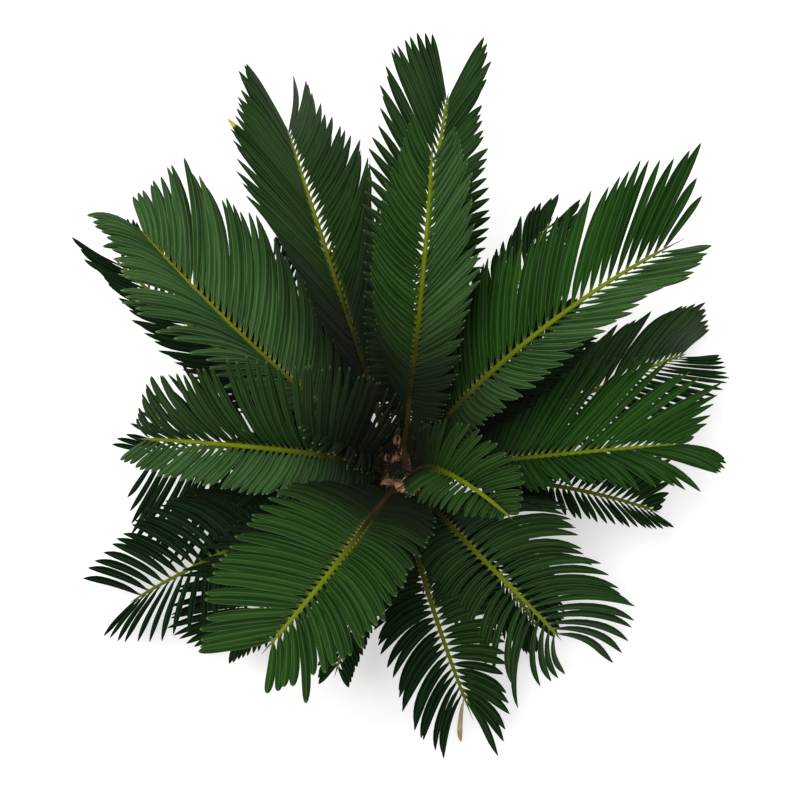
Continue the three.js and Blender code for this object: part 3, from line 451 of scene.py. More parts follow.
def tube(b, P, across, up, hx, hz, sides, mat, bake_x, bake_w, tone, along, cap=True):
    """A closed tube of elliptical section along P."""
    n = len(P)
    ang = 2 * math.pi * np.arange(sides) / sides
    ring = P[:, None] + across[:, None] * (np.cos(ang)[None] * hx[:, None])[..., None] + up[:, None] * (np.sin(ang)[None] * hz[:, None])[..., None]
    verts = ring.reshape(-1, 3)
    i, j = np.meshgrid(np.arange(n - 1), np.arange(sides), indexing="ij")
    i, j = i.ravel(), j.ravel()
    k = (j + 1) % sides
    quad = np.stack([i * sides + j, i * sides + k, (i + 1) * sides + k, (i + 1) * sides + j], 1)
    x0, x1 = j / sides, (j + 1) / sides
    y0, y1 = i / (n - 1), (i + 1) / (n - 1)
    x, y = np.stack([x0, x1, x1, x0], 1), np.stack([y0, y0, y1, y1], 1)
    bake = np.stack([bake_x + bake_w * (0.06 + 0.88 * x), 0.01 + 0.98 * y], -1)
    leaf = np.stack([x, y], -1)
    # across, up and the tube's own way make a left or right hand
    hand = np.dot(np.cross(across[0], up[0]), P[1] - P[0])
    if hand < 0:
        quad, bake, leaf = quad[:, ::-1], bake[:, ::-1], leaf[:, ::-1]
    b.add(verts, quad, mat, bake, leaf, tone, np.repeat(along, sides))
    if cap:
        base0 = b.count - len(verts)
        for e, turn in ((0, hand > 0), (n - 1, hand < 0)):
            f = np.stack([np.array([e * sides, e * sides + j, e * sides + j + 1]) for j in range(1, sides - 1)])
            if turn:
                f = f[:, ::-1]
            m = len(f)
            b.faces.append(f + base0)
            b.mats.append(np.broadcast_to(np.asarray(mat), (m,)))
            b.bake.append(np.tile([[bake_x + bake_w * 0.5, 0.01 + 0.98 * e / (n - 1)]], (m, 3, 1)))
            b.leaf.append(np.tile([[0.5, e / (n - 1)]], (m, 3, 1)))


def spine(b, at_point, way, side_way, length, radius, bake_cell, tone, mat):
    """A small four sided thorn."""
    way = unit(way)
    a = unit(np.cross(way, side_way))
    c = np.cross(way, a)
    ring = [at_point + radius * v for v in (a, c, -a, -c)]
    mid = [at_point + way * length * 0.5 + radius * 0.62 * v for v in (a, c, -a, -c)]
    tip = at_point + way * length
    verts = np.array(ring + mid + [tip])
    quad = np.array([[i, (i + 1) % 4, 4 + (i + 1) % 4, 4 + i] for i in range(4)])
    tri = np.array([[4 + i, 4 + (i + 1) % 4, 8] for i in range(4)] + [[2, 1, 0], [3, 2, 0]])
    x, y, w, h = bake_cell
    xs = np.array([0, .25, .5, .75, 1.0])
    uq = np.stack([np.stack([xs[i:i + 2][[0, 1, 1, 0]], np.array([0, 0, .5, .5])], -1) for i in range(4)])
    ut = np.stack([np.stack([np.append(xs[i:i + 2], xs[i] + 0.125), np.array([.5, .5, 1.0])], -1) for i in range(4)] + [np.full((3, 2), 0.02)] * 2)
    place = lambda uv: np.stack([x + w * (0.05 + 0.9 * uv[..., 0]), y + h * (0.05 + 0.9 * uv[..., 1])], -1)
    b.add(verts, quad, mat, place(uq), uq, tone, np.array([0.0] * 4 + [0.5] * 4 + [1.0]))
    b.faces.append(tri + b.count - 9)
    b.mats.append(np.full(len(tri), mat))
    b.bake.append(place(ut))
    b.leaf.append(ut)


def stalk(b, f, rng, lk, column, columns):
    """One frond's stalk, its thorns and the fine point past its last leaflets."""
    s, P, T, N, S = rachis(f)
    fine = np.concatenate([np.linspace(0, 0.2, 13)[:-1], np.linspace(0.2, 1, 37)])
    Pf, Tf, Nf, Sf = at(s, P, fine), unit(at(s, T, fine)), unit(at(s, N, fine)), unit(at(s, S, fine))
    hw = half_stalk(f, fine)
    swell = 1 + 0.75 * np.exp(-fine * f["L"] / 9.0)
    foot = Pf[0] - Tf[0] * 5
    tip_len = lk.get("tip", 7.0 + 4.0 * rng.random())
    ends = [Pf[-1] + Tf[-1] * tip_len * k for k in (0.12, 0.45, 1.0)]
    P2 = np.vstack([foot, Pf, *ends])
    wide = np.concatenate([[hw[0] * 1.6], hw * swell, [0.72, 0.45, 0.12]])
    wide[-5:-3] = [1.0, 0.9]
    S2 = np.vstack([Sf[0], Sf, Sf[-1], Sf[-1], Sf[-1]])
    N2 = np.vstack([Nf[0], Nf, Nf[-1], Nf[-1], Nf[-1]])
    along = np.concatenate([[0], fine * 0.97, [0.98, 0.99, 1.0]])
    along = np.maximum(along - lk.get("painted_shade_reach", 0.0) * (1 - along), 0)  # how far out the painted shade on the stalk's foot reaches
    tube(b, P2, S2, N2, wide, wide * 0.8, 10, 0, column / columns * 0.9, 0.9 / columns, lk["stalk"] * 0.8 + 0.2 * rng.random(), along)
    # thorns along the bare stalk, longer towards the leaflets
    thorns = 9
    k = 0
    for side in (-1, 1):
        for i in range(thorns):
            c = (i + 0.5 * (side > 0) + 0.3 * rng.random()) / thorns
            where = f["s0"] * (0.35 + 0.66 * c)
            p, t, n, sd = at(s, P, np.array([where]))[0], at(s, T, np.array([where]))[0], at(s, N, np.array([where]))[0], at(s, S, np.array([where]))[0]
            h = float(half_stalk(f, where))
            way = side * sd * 0.9 + t * (0.45 + 0.2 * rng.random()) + n * 0.25
            col, row = column, k
            cell_box = (0.905 + 0.09 * (column / columns), row / (2 * thorns), 0.09 / columns, 1 / (2 * thorns))
            spine(b, p + side * sd * h * 0.8, way, t, 1.6 + 3.6 * c ** 1.5 + 0.5 * rng.random(), 0.62, cell_box, 0.5, 1)
            k += 1


# ------------------------------------------------------------------ materials
def new_material(name):
    m = bpy.data.materials.new(name)
    m.use_nodes = True
    nt = m.node_tree
    return m, nt, nt.nodes["Principled BSDF"]


def node(nt, kind, **values):
    n = nt.nodes.new(kind)
    for k, v in values.items():
        setattr(n, k, v)
    return n


def link(nt, a, b):
    nt.links.new(a, b)


def maths(nt, op, a, b=None, c=None, clamp=False):
    n = node(nt, "ShaderNodeMath", operation=op, use_clamp=clamp)
    for i, v in enumerate((a, b, c)):
        if v is None:
            continue
        if isinstance(v, (int, float)):
            n.inputs[i].default_value = v
        else:
            link(nt, v, n.inputs[i])
    return n.outputs[0]


def blend(nt, fac, a, b, kind="MIX"):
    n = node(nt, "ShaderNodeMix", data_type="RGBA", blend_type=kind)
    for socket, v in ((n.inputs["Factor"], fac), (n.inputs["A"], a), (n.inputs["B"], b)):
        pass
    slots = {"f": n.inputs[0], "a": n.inputs[6], "b": n.inputs[7]}
    for key, v in (("f", fac), ("a", a), ("b", b)):
        s = slots[key]
        if isinstance(v, tuple):
            s.default_value = (*v, 1.0)
        elif isinstance(v, (int, float)):
            s.default_value = v
        else:
            link(nt, v, s)
    return n.outputs[2]


def ramp(nt, fac, stops):
    n = node(nt, "ShaderNodeValToRGB")
    e = n.color_ramp.elements
    while len(e) < len(stops):
        e.new(0.5)
    for el, (p, c) in zip(e, stops):
        el.position = p
        el.color = (*c, 1.0)
    link(nt, fac, n.inputs[0])
    return n.outputs[0]


def smooth(nt, x, lo, hi):
    n = node(nt, "ShaderNodeMapRange", interpolation_type="SMOOTHSTEP")
    link(nt, x, n.inputs["Value"])
    n.inputs["From Min"].default_value = lo
    n.inputs["From Max"].default_value = hi
    return n.outputs["Result"]


def noise(nt, vector, scale, detail=3.0, rough=0.55):
    n = node(nt, "ShaderNodeTexNoise")
    n.inputs["Scale"].default_value = scale
    n.inputs["Detail"].default_value = detail
    n.inputs["Roughness"].default_value = rough
    if vector is not None:
        link(nt, vector, n.inputs["Vector"])
    return n.outputs["Fac"]


def value_of(nt, name):
    return node(nt, "ShaderNodeAttribute", attribute_name=name).outputs["Fac"]


def place_on_leaf(nt):
    uv = node(nt, "ShaderNodeUVMap", uv_map="leaf")
    sep = node(nt, "ShaderNodeSeparateXYZ")
    link(nt, uv.outputs[0], sep.inputs[0])
    return uv.outputs[0], sep.outputs[0], sep.outputs[1]


def where_on_object(nt):
    return node(nt, "ShaderNodeTexCoord").outputs["Object"]


def leaf_green(name, deep, full, edge, rough=0.46, gloss=0.035, tip_from=(0.965, 0.995), tip_part=0.6, tip_colour=None):
    """Waxy upper face of a leaflet: lengthwise veins, a paler midrib and edge, its own tone, painted shade from edge to
    edge and near the crown's middle, a yellower foot and a sharp tip.
    """
    m, nt, p = new_material(name)
    uv, x, y = place_on_leaf(nt)
    obj = where_on_object(nt)
    tone = value_of(nt, "tone")
    patches = noise(nt, obj, 38.0, 3.0)
    mixed = maths(nt, "ADD", maths(nt, "MULTIPLY", tone, 0.62), maths(nt, "MULTIPLY", patches, 0.42), clamp=True)
    colour = blend(nt, mixed, deep, full)
    # fine lengthwise veins
    stretch = node(nt, "ShaderNodeMapping")
    stretch.inputs["Scale"].default_value = (16.0, 1.3, 1.0)
    link(nt, uv, stretch.inputs["Vector"])
    grain = noise(nt, stretch.outputs[0], 1.6, 2.0)
    colour = blend(nt, maths(nt, "MULTIPLY", smooth(nt, grain, 0.42, 0.7), 0.45), colour, tuple(c * 0.5 for c in deep))
    # painted shade: the blade darkens from one edge to the other, as where a neighbour overlaps it
    colour = blend(nt, maths(nt, "MULTIPLY", smooth(nt, x, 0.5, 0.08), 0.62), colour, tuple(c * 0.5 for c in deep))
    off = maths(nt, "ABSOLUTE", maths(nt, "SUBTRACT", x, 0.5))
    rib = smooth(nt, off, 0.07, 0.02)
    colour = blend(nt, maths(nt, "MULTIPLY", rib, 0.42), colour, edge)
    rim = smooth(nt, off, 0.41, 0.475)
    colour = blend(nt, maths(nt, "MULTIPLY", rim, 0.62), colour, edge)
    # painted shade: the leaflets nearest the crown's middle are darkened to a dull grey-green
    inner = maths(nt, "MULTIPLY", smooth(nt, value_of(nt, "along"), 0.42, 0.02), 0.90)
    colour = blend(nt, inner, colour, (0.0110, 0.0142, 0.0092))
    foot = maths(nt, "MULTIPLY", smooth(nt, y, 0.070, 0.015), smooth(nt, value_of(nt, "along"), 0.10, 0.40))
    colour = blend(nt, maths(nt, "MULTIPLY", foot, 0.75), colour, (0.105, 0.138, 0.010))
    tip = smooth(nt, y, *tip_from)
    colour = blend(nt, maths(nt, "MULTIPLY", tip, tip_part), colour, tip_colour or tuple(1.3 * c for c in edge))
    link(nt, colour, p.inputs["Base Color"])
    r = maths(nt, "ADD", maths(nt, "MULTIPLY", patches, 0.16), rough - 0.08)
    link(nt, r, p.inputs["Roughness"])
    bump = node(nt, "ShaderNodeBump")
    bump.inputs["Strength"].default_value = 0.35
    bump.inputs["Distance"].default_value = 0.00025
    height = maths(nt, "ADD", maths(nt, "MULTIPLY", grain, 0.7), maths(nt, "MULTIPLY", rib, -0.6))
    link(nt, height, bump.inputs["Height"])
    link(nt, bump.outputs[0], p.inputs["Normal"])
    p.inputs["Specular IOR Level"].default_value = gloss
    return m


def leaf_under(name, colour, rib_colour):
    """Dull lower face with a strong midrib."""
    m, nt, p = new_material(name)
    uv, x, y = place_on_leaf(nt)
    patches = noise(nt, where_on_object(nt), 55.0, 3.0)
    tone = value_of(nt, "tone")
    mixed = maths(nt, "ADD", maths(nt, "MULTIPLY", tone, 0.5), maths(nt, "MULTIPLY", patches, 0.5), clamp=True)
    c = blend(nt, mixed, tuple(0.7 * v for v in colour), tuple(1.25 * v for v in colour))
    off = maths(nt, "ABSOLUTE", maths(nt, "SUBTRACT", x, 0.5))
    c = blend(nt, maths(nt, "MULTIPLY", smooth(nt, off, 0.09, 0.04), 0.75), c, rib_colour)
    link(nt, c, p.inputs["Base Color"])
    p.inputs["Roughness"].default_value = 0.62
    p.inputs["Specular IOR Level"].default_value = 0.2
    return m


def stalk_skin():
    """Green stalk, brown at the foot, near black with painted shade a little further out, and yellow-green where the
    leaflets stand.
    """
    m, nt, p = new_material("stalk_skin")
    a, tone = value_of(nt, "along"), value_of(nt, "tone")
    obj = where_on_object(nt)
    patches = noise(nt, obj, 90.0, 4.0)
    shifted = maths(nt, "ADD", a, maths(nt, "MULTIPLY", maths(nt, "SUBTRACT", patches, 0.5), 0.06))
    # painted shade: past the brown foot the stalk turns near black for some way, where the crown's middle shades it
    fresh = ramp(nt, shifted, [(0.0, (0.060, 0.032, 0.014)), (0.08, (0.026, 0.020, 0.008)), (0.18, (0.022, 0.022, 0.006)), (0.30, (0.046, 0.058, 0.006)), (0.42, (0.108, 0.148, 0.005)), (0.60, (0.168, 0.235, 0.005)), (0.8, (0.182, 0.255, 0.008)), (0.95, (0.165, 0.225, 0.020)), (1.0, (0.05, 0.04, 0.015))])
    dull = ramp(nt, shifted, [(0.0, (0.040, 0.024, 0.012)), (0.1, (0.020, 0.016, 0.007)), (0.24, (0.020, 0.019, 0.006)), (0.36, (0.042, 0.050, 0.007)), (0.6, (0.095, 0.122, 0.009)), (0.95, (0.105, 0.135, 0.014)), (1.0, (0.05, 0.04, 0.015))])
    c = blend(nt, smooth(nt, tone, 0.1, 0.75), fresh, dull)
    c = blend(nt, maths(nt, "MULTIPLY", smooth(nt, patches, 0.35, 0.7), 0.3), c, (0.09, 0.10, 0.012))
    link(nt, c, p.inputs["Base Color"])
    p.inputs["Roughness"].default_value = 0.46
    p.inputs["Specular IOR Level"].default_value = 0.06
    bump = node(nt, "ShaderNodeBump")
    bump.inputs["Strength"].default_value = 0.4
    bump.inputs["Distance"].default_value = 0.0003
    link(nt, patches, bump.inputs["Height"])
    link(nt, bump.outputs[0], p.inputs["Normal"])
    return m


def two_tone(name, low, high, scale, rough, bump_size=0.0006, detail=5.0, along=None):
    """A dry, dull surface mottled between two colours, such as bark, wool or a dead leaflet."""
    m, nt, p = new_material(name)
    obj = where_on_object(nt)
    n1 = noise(nt, obj, scale, detail, 0.62)
    c = blend(nt, smooth(nt, n1, 0.32, 0.68), low, high)
    if along is not None:
        c = blend(nt, smooth(nt, value_of(nt, "along"), *along[0]), c, along[1])
    t = value_of(nt, "tone")
    c = blend(nt, maths(nt, "MULTIPLY", t, 0.45), c, tuple(0.45 * v for v in low))
    link(nt, c, p.inputs["Base Color"])
    p.inputs["Roughness"].default_value = rough
    bump = node(nt, "ShaderNodeBump")
    bump.inputs["Strength"].default_value = 0.6
    bump.inputs["Distance"].default_value = bump_size
    link(nt, noise(nt, obj, scale * 3.0, 4.0), bump.inputs["Height"])
    link(nt, bump.outputs[0], p.inputs["Normal"])
    return m


GREENS = {
    "light": leaf_green("leaf_light", (0.0158, 0.0483, 0.0104), (0.0525, 0.1302, 0.0342), (0.1575, 0.2520, 0.1037)),
    "fresh": leaf_green("leaf_fresh", (0.0088, 0.0315, 0.0049), (0.0294, 0.0872, 0.0140), (0.1050, 0.1837, 0.0586)),
    "bright": leaf_green("leaf_bright", (0.0080, 0.0284, 0.0046), (0.0271, 0.0830, 0.0127), (0.0903, 0.1659, 0.0512)),
    "vivid": leaf_green("leaf_vivid", (0.0060, 0.0284, 0.0030), (0.0205, 0.0830, 0.0085), (0.0760, 0.1600, 0.0400)),
    "mid": leaf_green("leaf_mid", (0.0069, 0.0236, 0.0051), (0.0237, 0.0693, 0.0137), (0.0777, 0.1365, 0.0488)),
    # deep and shade are darker copies of the leaf green for the lower fronds: painted shade of the fronds above them
    "deep": leaf_green("leaf_deep", (0.0053, 0.0168, 0.0046), (0.0184, 0.0504, 0.0122), (0.0609, 0.1029, 0.0415), gloss=0.0),
    "shade": leaf_green("leaf_shade", (0.0036, 0.0105, 0.0041), (0.0115, 0.0326, 0.0107), (0.0420, 0.0714, 0.0342), gloss=0.0),
}
YELLOW_TIP = leaf_green("leaf_yellow_tip", (0.0060, 0.0215, 0.0032), (0.0145, 0.0450, 0.0064), (0.048, 0.090, 0.024), tip_from=(0.91, 0.93), tip_part=0.95, tip_colour=(0.62, 0.46, 0.08))
UNDER = leaf_under("leaf_under", (0.030, 0.062, 0.014), (0.085, 0.115, 0.025))
STALK = stalk_skin()
THORN = two_tone("thorn", (0.12, 0.10, 0.02), (0.20, 0.17, 0.05), 120.0, 0.5, 0.0001, 2.0, ((0.4, 1.0), (0.10, 0.055, 0.02)))
# the leaflet feet turn near black towards the crown's middle: painted shade
CALLUS = two_tone("leaflet_foot", (0.10, 0.125, 0.012), (0.20, 0.24, 0.02), 160.0, 0.45, 0.0001, 2.0, ((0.34, 0.08), (0.014, 0.013, 0.005)))
DEAD = two_tone("dead_leaflet", (0.38, 0.26, 0.13), (0.60, 0.45, 0.26), 120.0, 0.75, 0.0003)
YELLOWED = two_tone("yellowed_leaflet", (0.50, 0.36, 0.02), (0.70, 0.52, 0.05), 90.0, 0.5, 0.0001)

# ------------------------------------------------------------------ build the fronds
rows = [read(r) for r in FRONDS]
pieces = []
stalks = Build()
for number, f in enumerate(rows):
    lk = look(f["name"])
    rng = np.random.default_rng(4100 + number)
    b = Build()
    sides = []
    for side in (-1, 1):
        sides.append((side, *leaflets(f, side, rng, lk)))
    total = 2 * sum(len(x[1]) for x in sides)
    grid_rows = 4
    grid_cols = -(-total // grid_rows)
    first = 0
    for side, u, C, D, W, U, width, ln in sides:
        n = len(u)
        rings = leaflet_rings(C, W, U, width, lk["blunt"])
        # each leaflet's own tone, with painted shade: leaflets nearest the foot of the blade are made darker
        tone = np.clip(0.5 + 0.30 * wander(rng, u * 3) + rng.normal(0, 0.32, n) - 0.5 * np.exp(-u / 0.09), 0, 1)
        paint = np.tile([0 if side < 0 else 5, 1, 2], (n, 1))
        for s_, i_, turn, rise, longer, wider, material in ODD.get(f["name"], ()):
            if s_ == side and material is not None:
                paint[i_] = (material, material if material == 3 else 1, 3 if material == 3 else 2)
        # the along value carries the painted shade near the crown's middle; the painted-shade reach and the look's
        # light move it further out
        add_leaflets(b, rings, side, first, grid_cols, grid_rows, tone, paint,
                     np.maximum(u - 0.6 * lk.get("painted_shade_reach", 0.0) * (1 - u), 0) * lk["light"])
        first += n
    ob = b.mesh(f["name"] + "_leaflets", [GREENS[lk["green"][0]], UNDER, CALLUS, DEAD, YELLOWED, GREENS[lk["green"][1]], YELLOW_TIP])
    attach(ob, "root")
    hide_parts(f["name"])
    pieces.append(ob)
    stalk(stalks, f, rng, lk, number, len(rows))
ob = stalks.mesh("frond_stalks", [STALK, THORN])
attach(ob, "root")
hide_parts(*[f["name"] for f in rows])

# ------------------------------------------------------------------ trunk: a core in a coat of old leaf bases
def radius_at(z):
    h = [p[1] for p in TRUNK_PROFILE]
    r = [p[0] for p in TRUNK_PROFILE]
    return float(np.interp(z, h, r))


def out_of_round(a):
    return 1 + 0.03 * (math.sin(2 * a + 0.8) + 0.5 * math.sin(5 * a + 2.1))


SECTION = [(math.cos(2 * math.pi * k / 10), math.sin(2 * math.pi * k / 10)) for k in range(10)]


def tongue(b, start, way, out, length, widths, thicks, bend, box, tone, mat, power=1.0, keel=0.0, low=None, end_mat=None):
    """A tapering scale. widths and thicks are half sizes at even steps; bend is how far the end moves along out."""
    n = len(widths)
    way, out = unit(way), unit(out)
    t = np.linspace(0, 1, n)
    P = start + way * (length * t)[:, None] + out * (bend * t ** 2)[:, None]
    D = unit(np.gradient(P, axis=0))
    O = unit(out - (D @ out)[:, None] * D)
    A = np.cross(D, O)
    ring = []
    for c, s in SECTION:
        x = math.copysign(abs(c) ** power, c)
        y = math.copysign(abs(s) ** power, s)
        lift = keel * (1 - abs(x)) * (1 if y > 0 else 0.4)
        ring.append(P + A * (widths * x)[:, None] + O * (thicks * (y + lift))[:, None])
    ring = np.stack(ring, 1)
    m = len(SECTION)
    verts = ring.reshape(-1, 3)
    if low is not None:
        verts[:, 2] = np.maximum(verts[:, 2], low)
    i, j = np.meshgrid(np.arange(n - 1), np.arange(m), indexing="ij")
    i, j = i.ravel(), j.ravel()
    k = (j + 1) % m
    quad = np.stack([i * m + j, i * m + k, (i + 1) * m + k, (i + 1) * m + j], 1)
    xy = np.stack([np.stack([j / m, (j + 1) / m, (j + 1) / m, j / m], 1), np.stack([i / n, i / n, (i + 1) / n, (i + 1) / n], 1)], -1)
    x, y, w, h = box
    place = lambda uv: np.stack([x + w * (0.04 + 0.92 * uv[..., 0]), y + h * (0.04 + 0.92 * uv[..., 1])], -1)
    # A x O points along D for this ring's turn, so the faces already point out
    b.add(verts, quad, mat, place(xy), xy, tone, np.repeat(t, m))
    for e, turn in ((0, True), (n - 1, False)):
        f = np.array([[e * m, e * m + q, e * m + q + 1] for q in range(1, m - 1)])
        if turn:
            f = f[:, ::-1]
        b.faces.append(f + b.count - len(verts))
        b.mats.append(np.full(len(f), mat if (turn or end_mat is None) else end_mat))
        c = np.array(SECTION)[(f - e * m)] * 0.5 + 0.5
        uvc = np.stack([c[..., 0], (n - 1 + 0.9 * c[..., 1]) / n], -1) if not turn else np.full((len(f), 3, 2), 0.01)
        b.bake.append(place(uvc))
        b.leaf.append(uvc)


BARK = two_tone("bark_scale", (0.045, 0.028, 0.017), (0.13, 0.085, 0.050), 70.0, 0.88, 0.0009)
CUT = two_tone("bark_scale_end", (0.10, 0.065, 0.038), (0.24, 0.17, 0.105), 110.0, 0.9, 0.0006)
# the core's dark brown is taken near black as painted shade where it shows at the floor of the crown's hollow
CORE = two_tone("bark_core", (0.010, 0.004, 0.003), (0.036, 0.015, 0.009), 60.0, 0.95, 0.0009)
SHEATH = two_tone("young_leaf_base", (0.50, 0.20, 0.080), (0.97, 0.70, 0.44), 95.0, 0.72, 0.0005)
OLD_SHEATH = two_tone("older_leaf_base", (0.012, 0.006, 0.0035), (0.046, 0.022, 0.012), 95.0, 0.9, 0.0005)
WOOL = two_tone("wool", (0.26, 0.155, 0.080), (0.52, 0.36, 0.21), 60.0, 0.95, 0.0002)

rng = np.random.default_rng(77)
b = Build()
# core
rings = []
sides = 40
for r, z in [(0.5, 0.0)] + [(max(r - 4.5, 4), z) for r, z in TRUNK_PROFILE] + [(16.0, 121.5), (0.5, 120.5)]:
    rings.append([[r * out_of_round(a) * math.cos(a), r * out_of_round(a) * math.sin(a), z] for a in 2 * math.pi * np.arange(sides) / sides])
rings = np.array(rings)
n = len(rings)
i, j = np.meshgrid(np.arange(n - 1), np.arange(sides), indexing="ij")
i, j = i.ravel(), j.ravel()
k = (j + 1) % sides
quad = np.stack([i * sides + j, i * sides + k, (i + 1) * sides + k, (i + 1) * sides + j], 1)
xy = np.stack([np.stack([j / sides, (j + 1) / sides, (j + 1) / sides, j / sides], 1), np.stack([i / (n - 1), i / (n - 1), (i + 1) / (n - 1), (i + 1) / (n - 1)], 1)], -1)
b.add(rings.reshape(-1, 3), quad, 0, np.stack([xy[..., 0] * 0.98 + 0.01, xy[..., 1] * 0.18 + 0.005], -1), xy, 0.4, 0.0)
for e, turn in ((0, True), (n - 1, False)):
    f = np.array([[e * sides, e * sides + q, e * sides + q + 1] for q in range(1, sides - 1)])
    if turn:
        f = f[:, ::-1]
    b.faces.append(f)
    b.mats.append(np.zeros(len(f), int))
    b.bake.append(np.full((len(f), 3, 2), 0.004))
    b.leaf.append(np.full((len(f), 3, 2), 0.0))
# old leaf bases in a spiral, packed by area
GOLDEN = math.pi * (3 - math.sqrt(5))
count = 330
zs = np.linspace(0, 121, 400)
area = np.concatenate([[0], np.cumsum([2 * math.pi * radius_at(z) for z in (zs[1:] + zs[:-1]) / 2])])
place_z = np.interp((np.arange(count) + 0.5) / count, area / area[-1], zs)
cols = 22
for q in range(count):
    z = float(place_z[q]) - 2.0
    a = q * GOLDEN + rng.normal(0, 0.03)
    r = radius_at(max(z, 0)) * out_of_round(a)
    out = np.array([math.cos(a), math.sin(a), 0.0])
    slope = (radius_at(z + 3) - radius_at(max(z - 3, 0))) / 6.0
    up = unit(np.array([0, 0, 1.0]) + out * slope)
    lean = 0.62 + rng.normal(0, 0.09) + 0.25 * max(0.0, (z - 95) / 25)
    way = up + out * lean + np.cross(up, out) * rng.normal(0, 0.08)
    normal = unit(out - up * lean * 0.5)
    length = 11.5 + rng.normal(0, 1.3)
    w = 7.6 + rng.normal(0, 0.5)
    th = 3.3 + rng.normal(0, 0.3)
    start = out * (r - 6.2) + np.array([0, 0, z - 1.0])
    # no point of a scale goes below the ground, so that nothing is cut by it
    widths = w * np.array([0.86, 1.0, 0.97, 0.80, 0.62])
    thicks = th * np.array([1.0, 1.0, 0.82, 0.62, 0.48])
    box = ((q % cols) / cols, 0.2 + 0.8 * (q // cols) / 15, 1 / cols, 0.8 / 15)
    tongue(b, start, way, normal, length, widths, thicks, -1.2, box, float(np.clip(rng.normal(0.4, 0.25), 0, 1)), 1, power=0.85, keel=0.35, low=0.0, end_mat=2)
ob = b.mesh("trunk_bark", [CORE, BARK, CUT], 42)
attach(ob, "root")
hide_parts("trunk")

# ------------------------------------------------------------------ crown apex: young leaf bases round a dark hollow, and wool
HOLLOW = np.array([-10.0, 20.0])   # the dark hollow's middle
FRESH = np.array([7.0, -20.0])     # the youngest, palest bases
b = Build()
count = 132
kept = 0
for q in range(count):
    rr = 37.0 * math.sqrt((q + 0.5) / count)
    a = q * GOLDEN + rng.normal(0, 0.06)
    spot = rr * np.array([math.cos(a), math.sin(a)]) + rng.normal(0, 0.7, 2)
    x, y = spot
    rr = math.hypot(x, y)
    from_hollow = float(np.hypot(*(spot - HOLLOW)))
    if from_hollow < 8.5:
        continue
    z = float(np.interp(rr, [0, 12, 24, 32, 40], [130, 128, 122, 117, 112])) + (1.5 if math.hypot((x - FRESH[0]) / 26, (y - FRESH[1]) / 13) < 1 else 0.0)
    radial = np.array([x, y, 0.0]) / max(rr, 1e-6)
    away = np.append((spot - HOLLOW) / from_hollow, 0.0)
    in_fresh = math.hypot((x - FRESH[0]) / 26, (y - FRESH[1]) / 13) < 1
    up = np.array([0, 0, 1.0])
    if from_hollow < 15:
        way, face, length, w, mat, tone = up + away * (0.10 + 0.10 * rng.random()), -away, 15.0, 3.4, 0, 0.1
    elif in_fresh:
        way, face, length, w, mat, tone = up + radial * (0.75 + 0.2 * rng.random()), up, 15.0, 4.6, 0, 0.05
    else:
        way, face, length, w, mat, tone = up + radial * (0.55 + 0.2 * rng.random()), -radial, 15.0, 4.8, 1, 0.5
    way = way + rng.normal(0, 0.09, 3)
    length *= 1 + rng.normal(0, 0.12)
    w *= 1 + rng.normal(0, 0.10)
    widths = w * np.array([0.9, 1.0, 0.88, 0.62, 0.34, 0.07])
    thicks = 1.5 * np.array([1.0, 0.9, 0.7, 0.5, 0.3, 0.12])
    box = ((kept % 12) / 12, (kept // 12) / 14, 1 / 12, 1 / 14)
    kept += 1
    tongue(b, np.array([x, y, z - 7.0]), way, face, length + 7.0, widths, thicks, rng.normal(1.2, 1.0), box, float(np.clip(rng.normal(tone, 0.2), 0, 1)), mat, power=0.9, keel=0.2)
# a dry, bristly rim round the hollow
for q in range(34):
    a = q * GOLDEN
    rr = 9.0 + 5.0 * (q % 3) / 2 + rng.normal(0, 0.4)
    away = np.array([math.cos(a), math.sin(a), 0.0])
    start = np.array([HOLLOW[0], HOLLOW[1], 121.0]) + away * rr
    widths = 1.9 * (1 + rng.normal(0, 0.12)) * np.array([0.9, 1.0, 0.88, 0.62, 0.34, 0.07])
    thicks = 0.9 * np.array([1.0, 0.9, 0.7, 0.5, 0.3, 0.12])
    box = ((kept % 12) / 12, (kept // 12) / 14, 1 / 12, 1 / 14)
    kept += 1
    tongue(b, start, np.array([0, 0, 1.0]) + away * 0.12 + rng.normal(0, 0.1, 3), -away, 20.0 + rng.normal(0, 2.0), widths, thicks, rng.normal(1.0, 1.0), box, float(np.clip(rng.normal(0.1, 0.15), 0, 1)), 0, power=0.9, keel=0.2)
ob = b.mesh("crown_young_bases", [SHEATH, OLD_SHEATH], 50)
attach(ob, "root")
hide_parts("crown_apex")

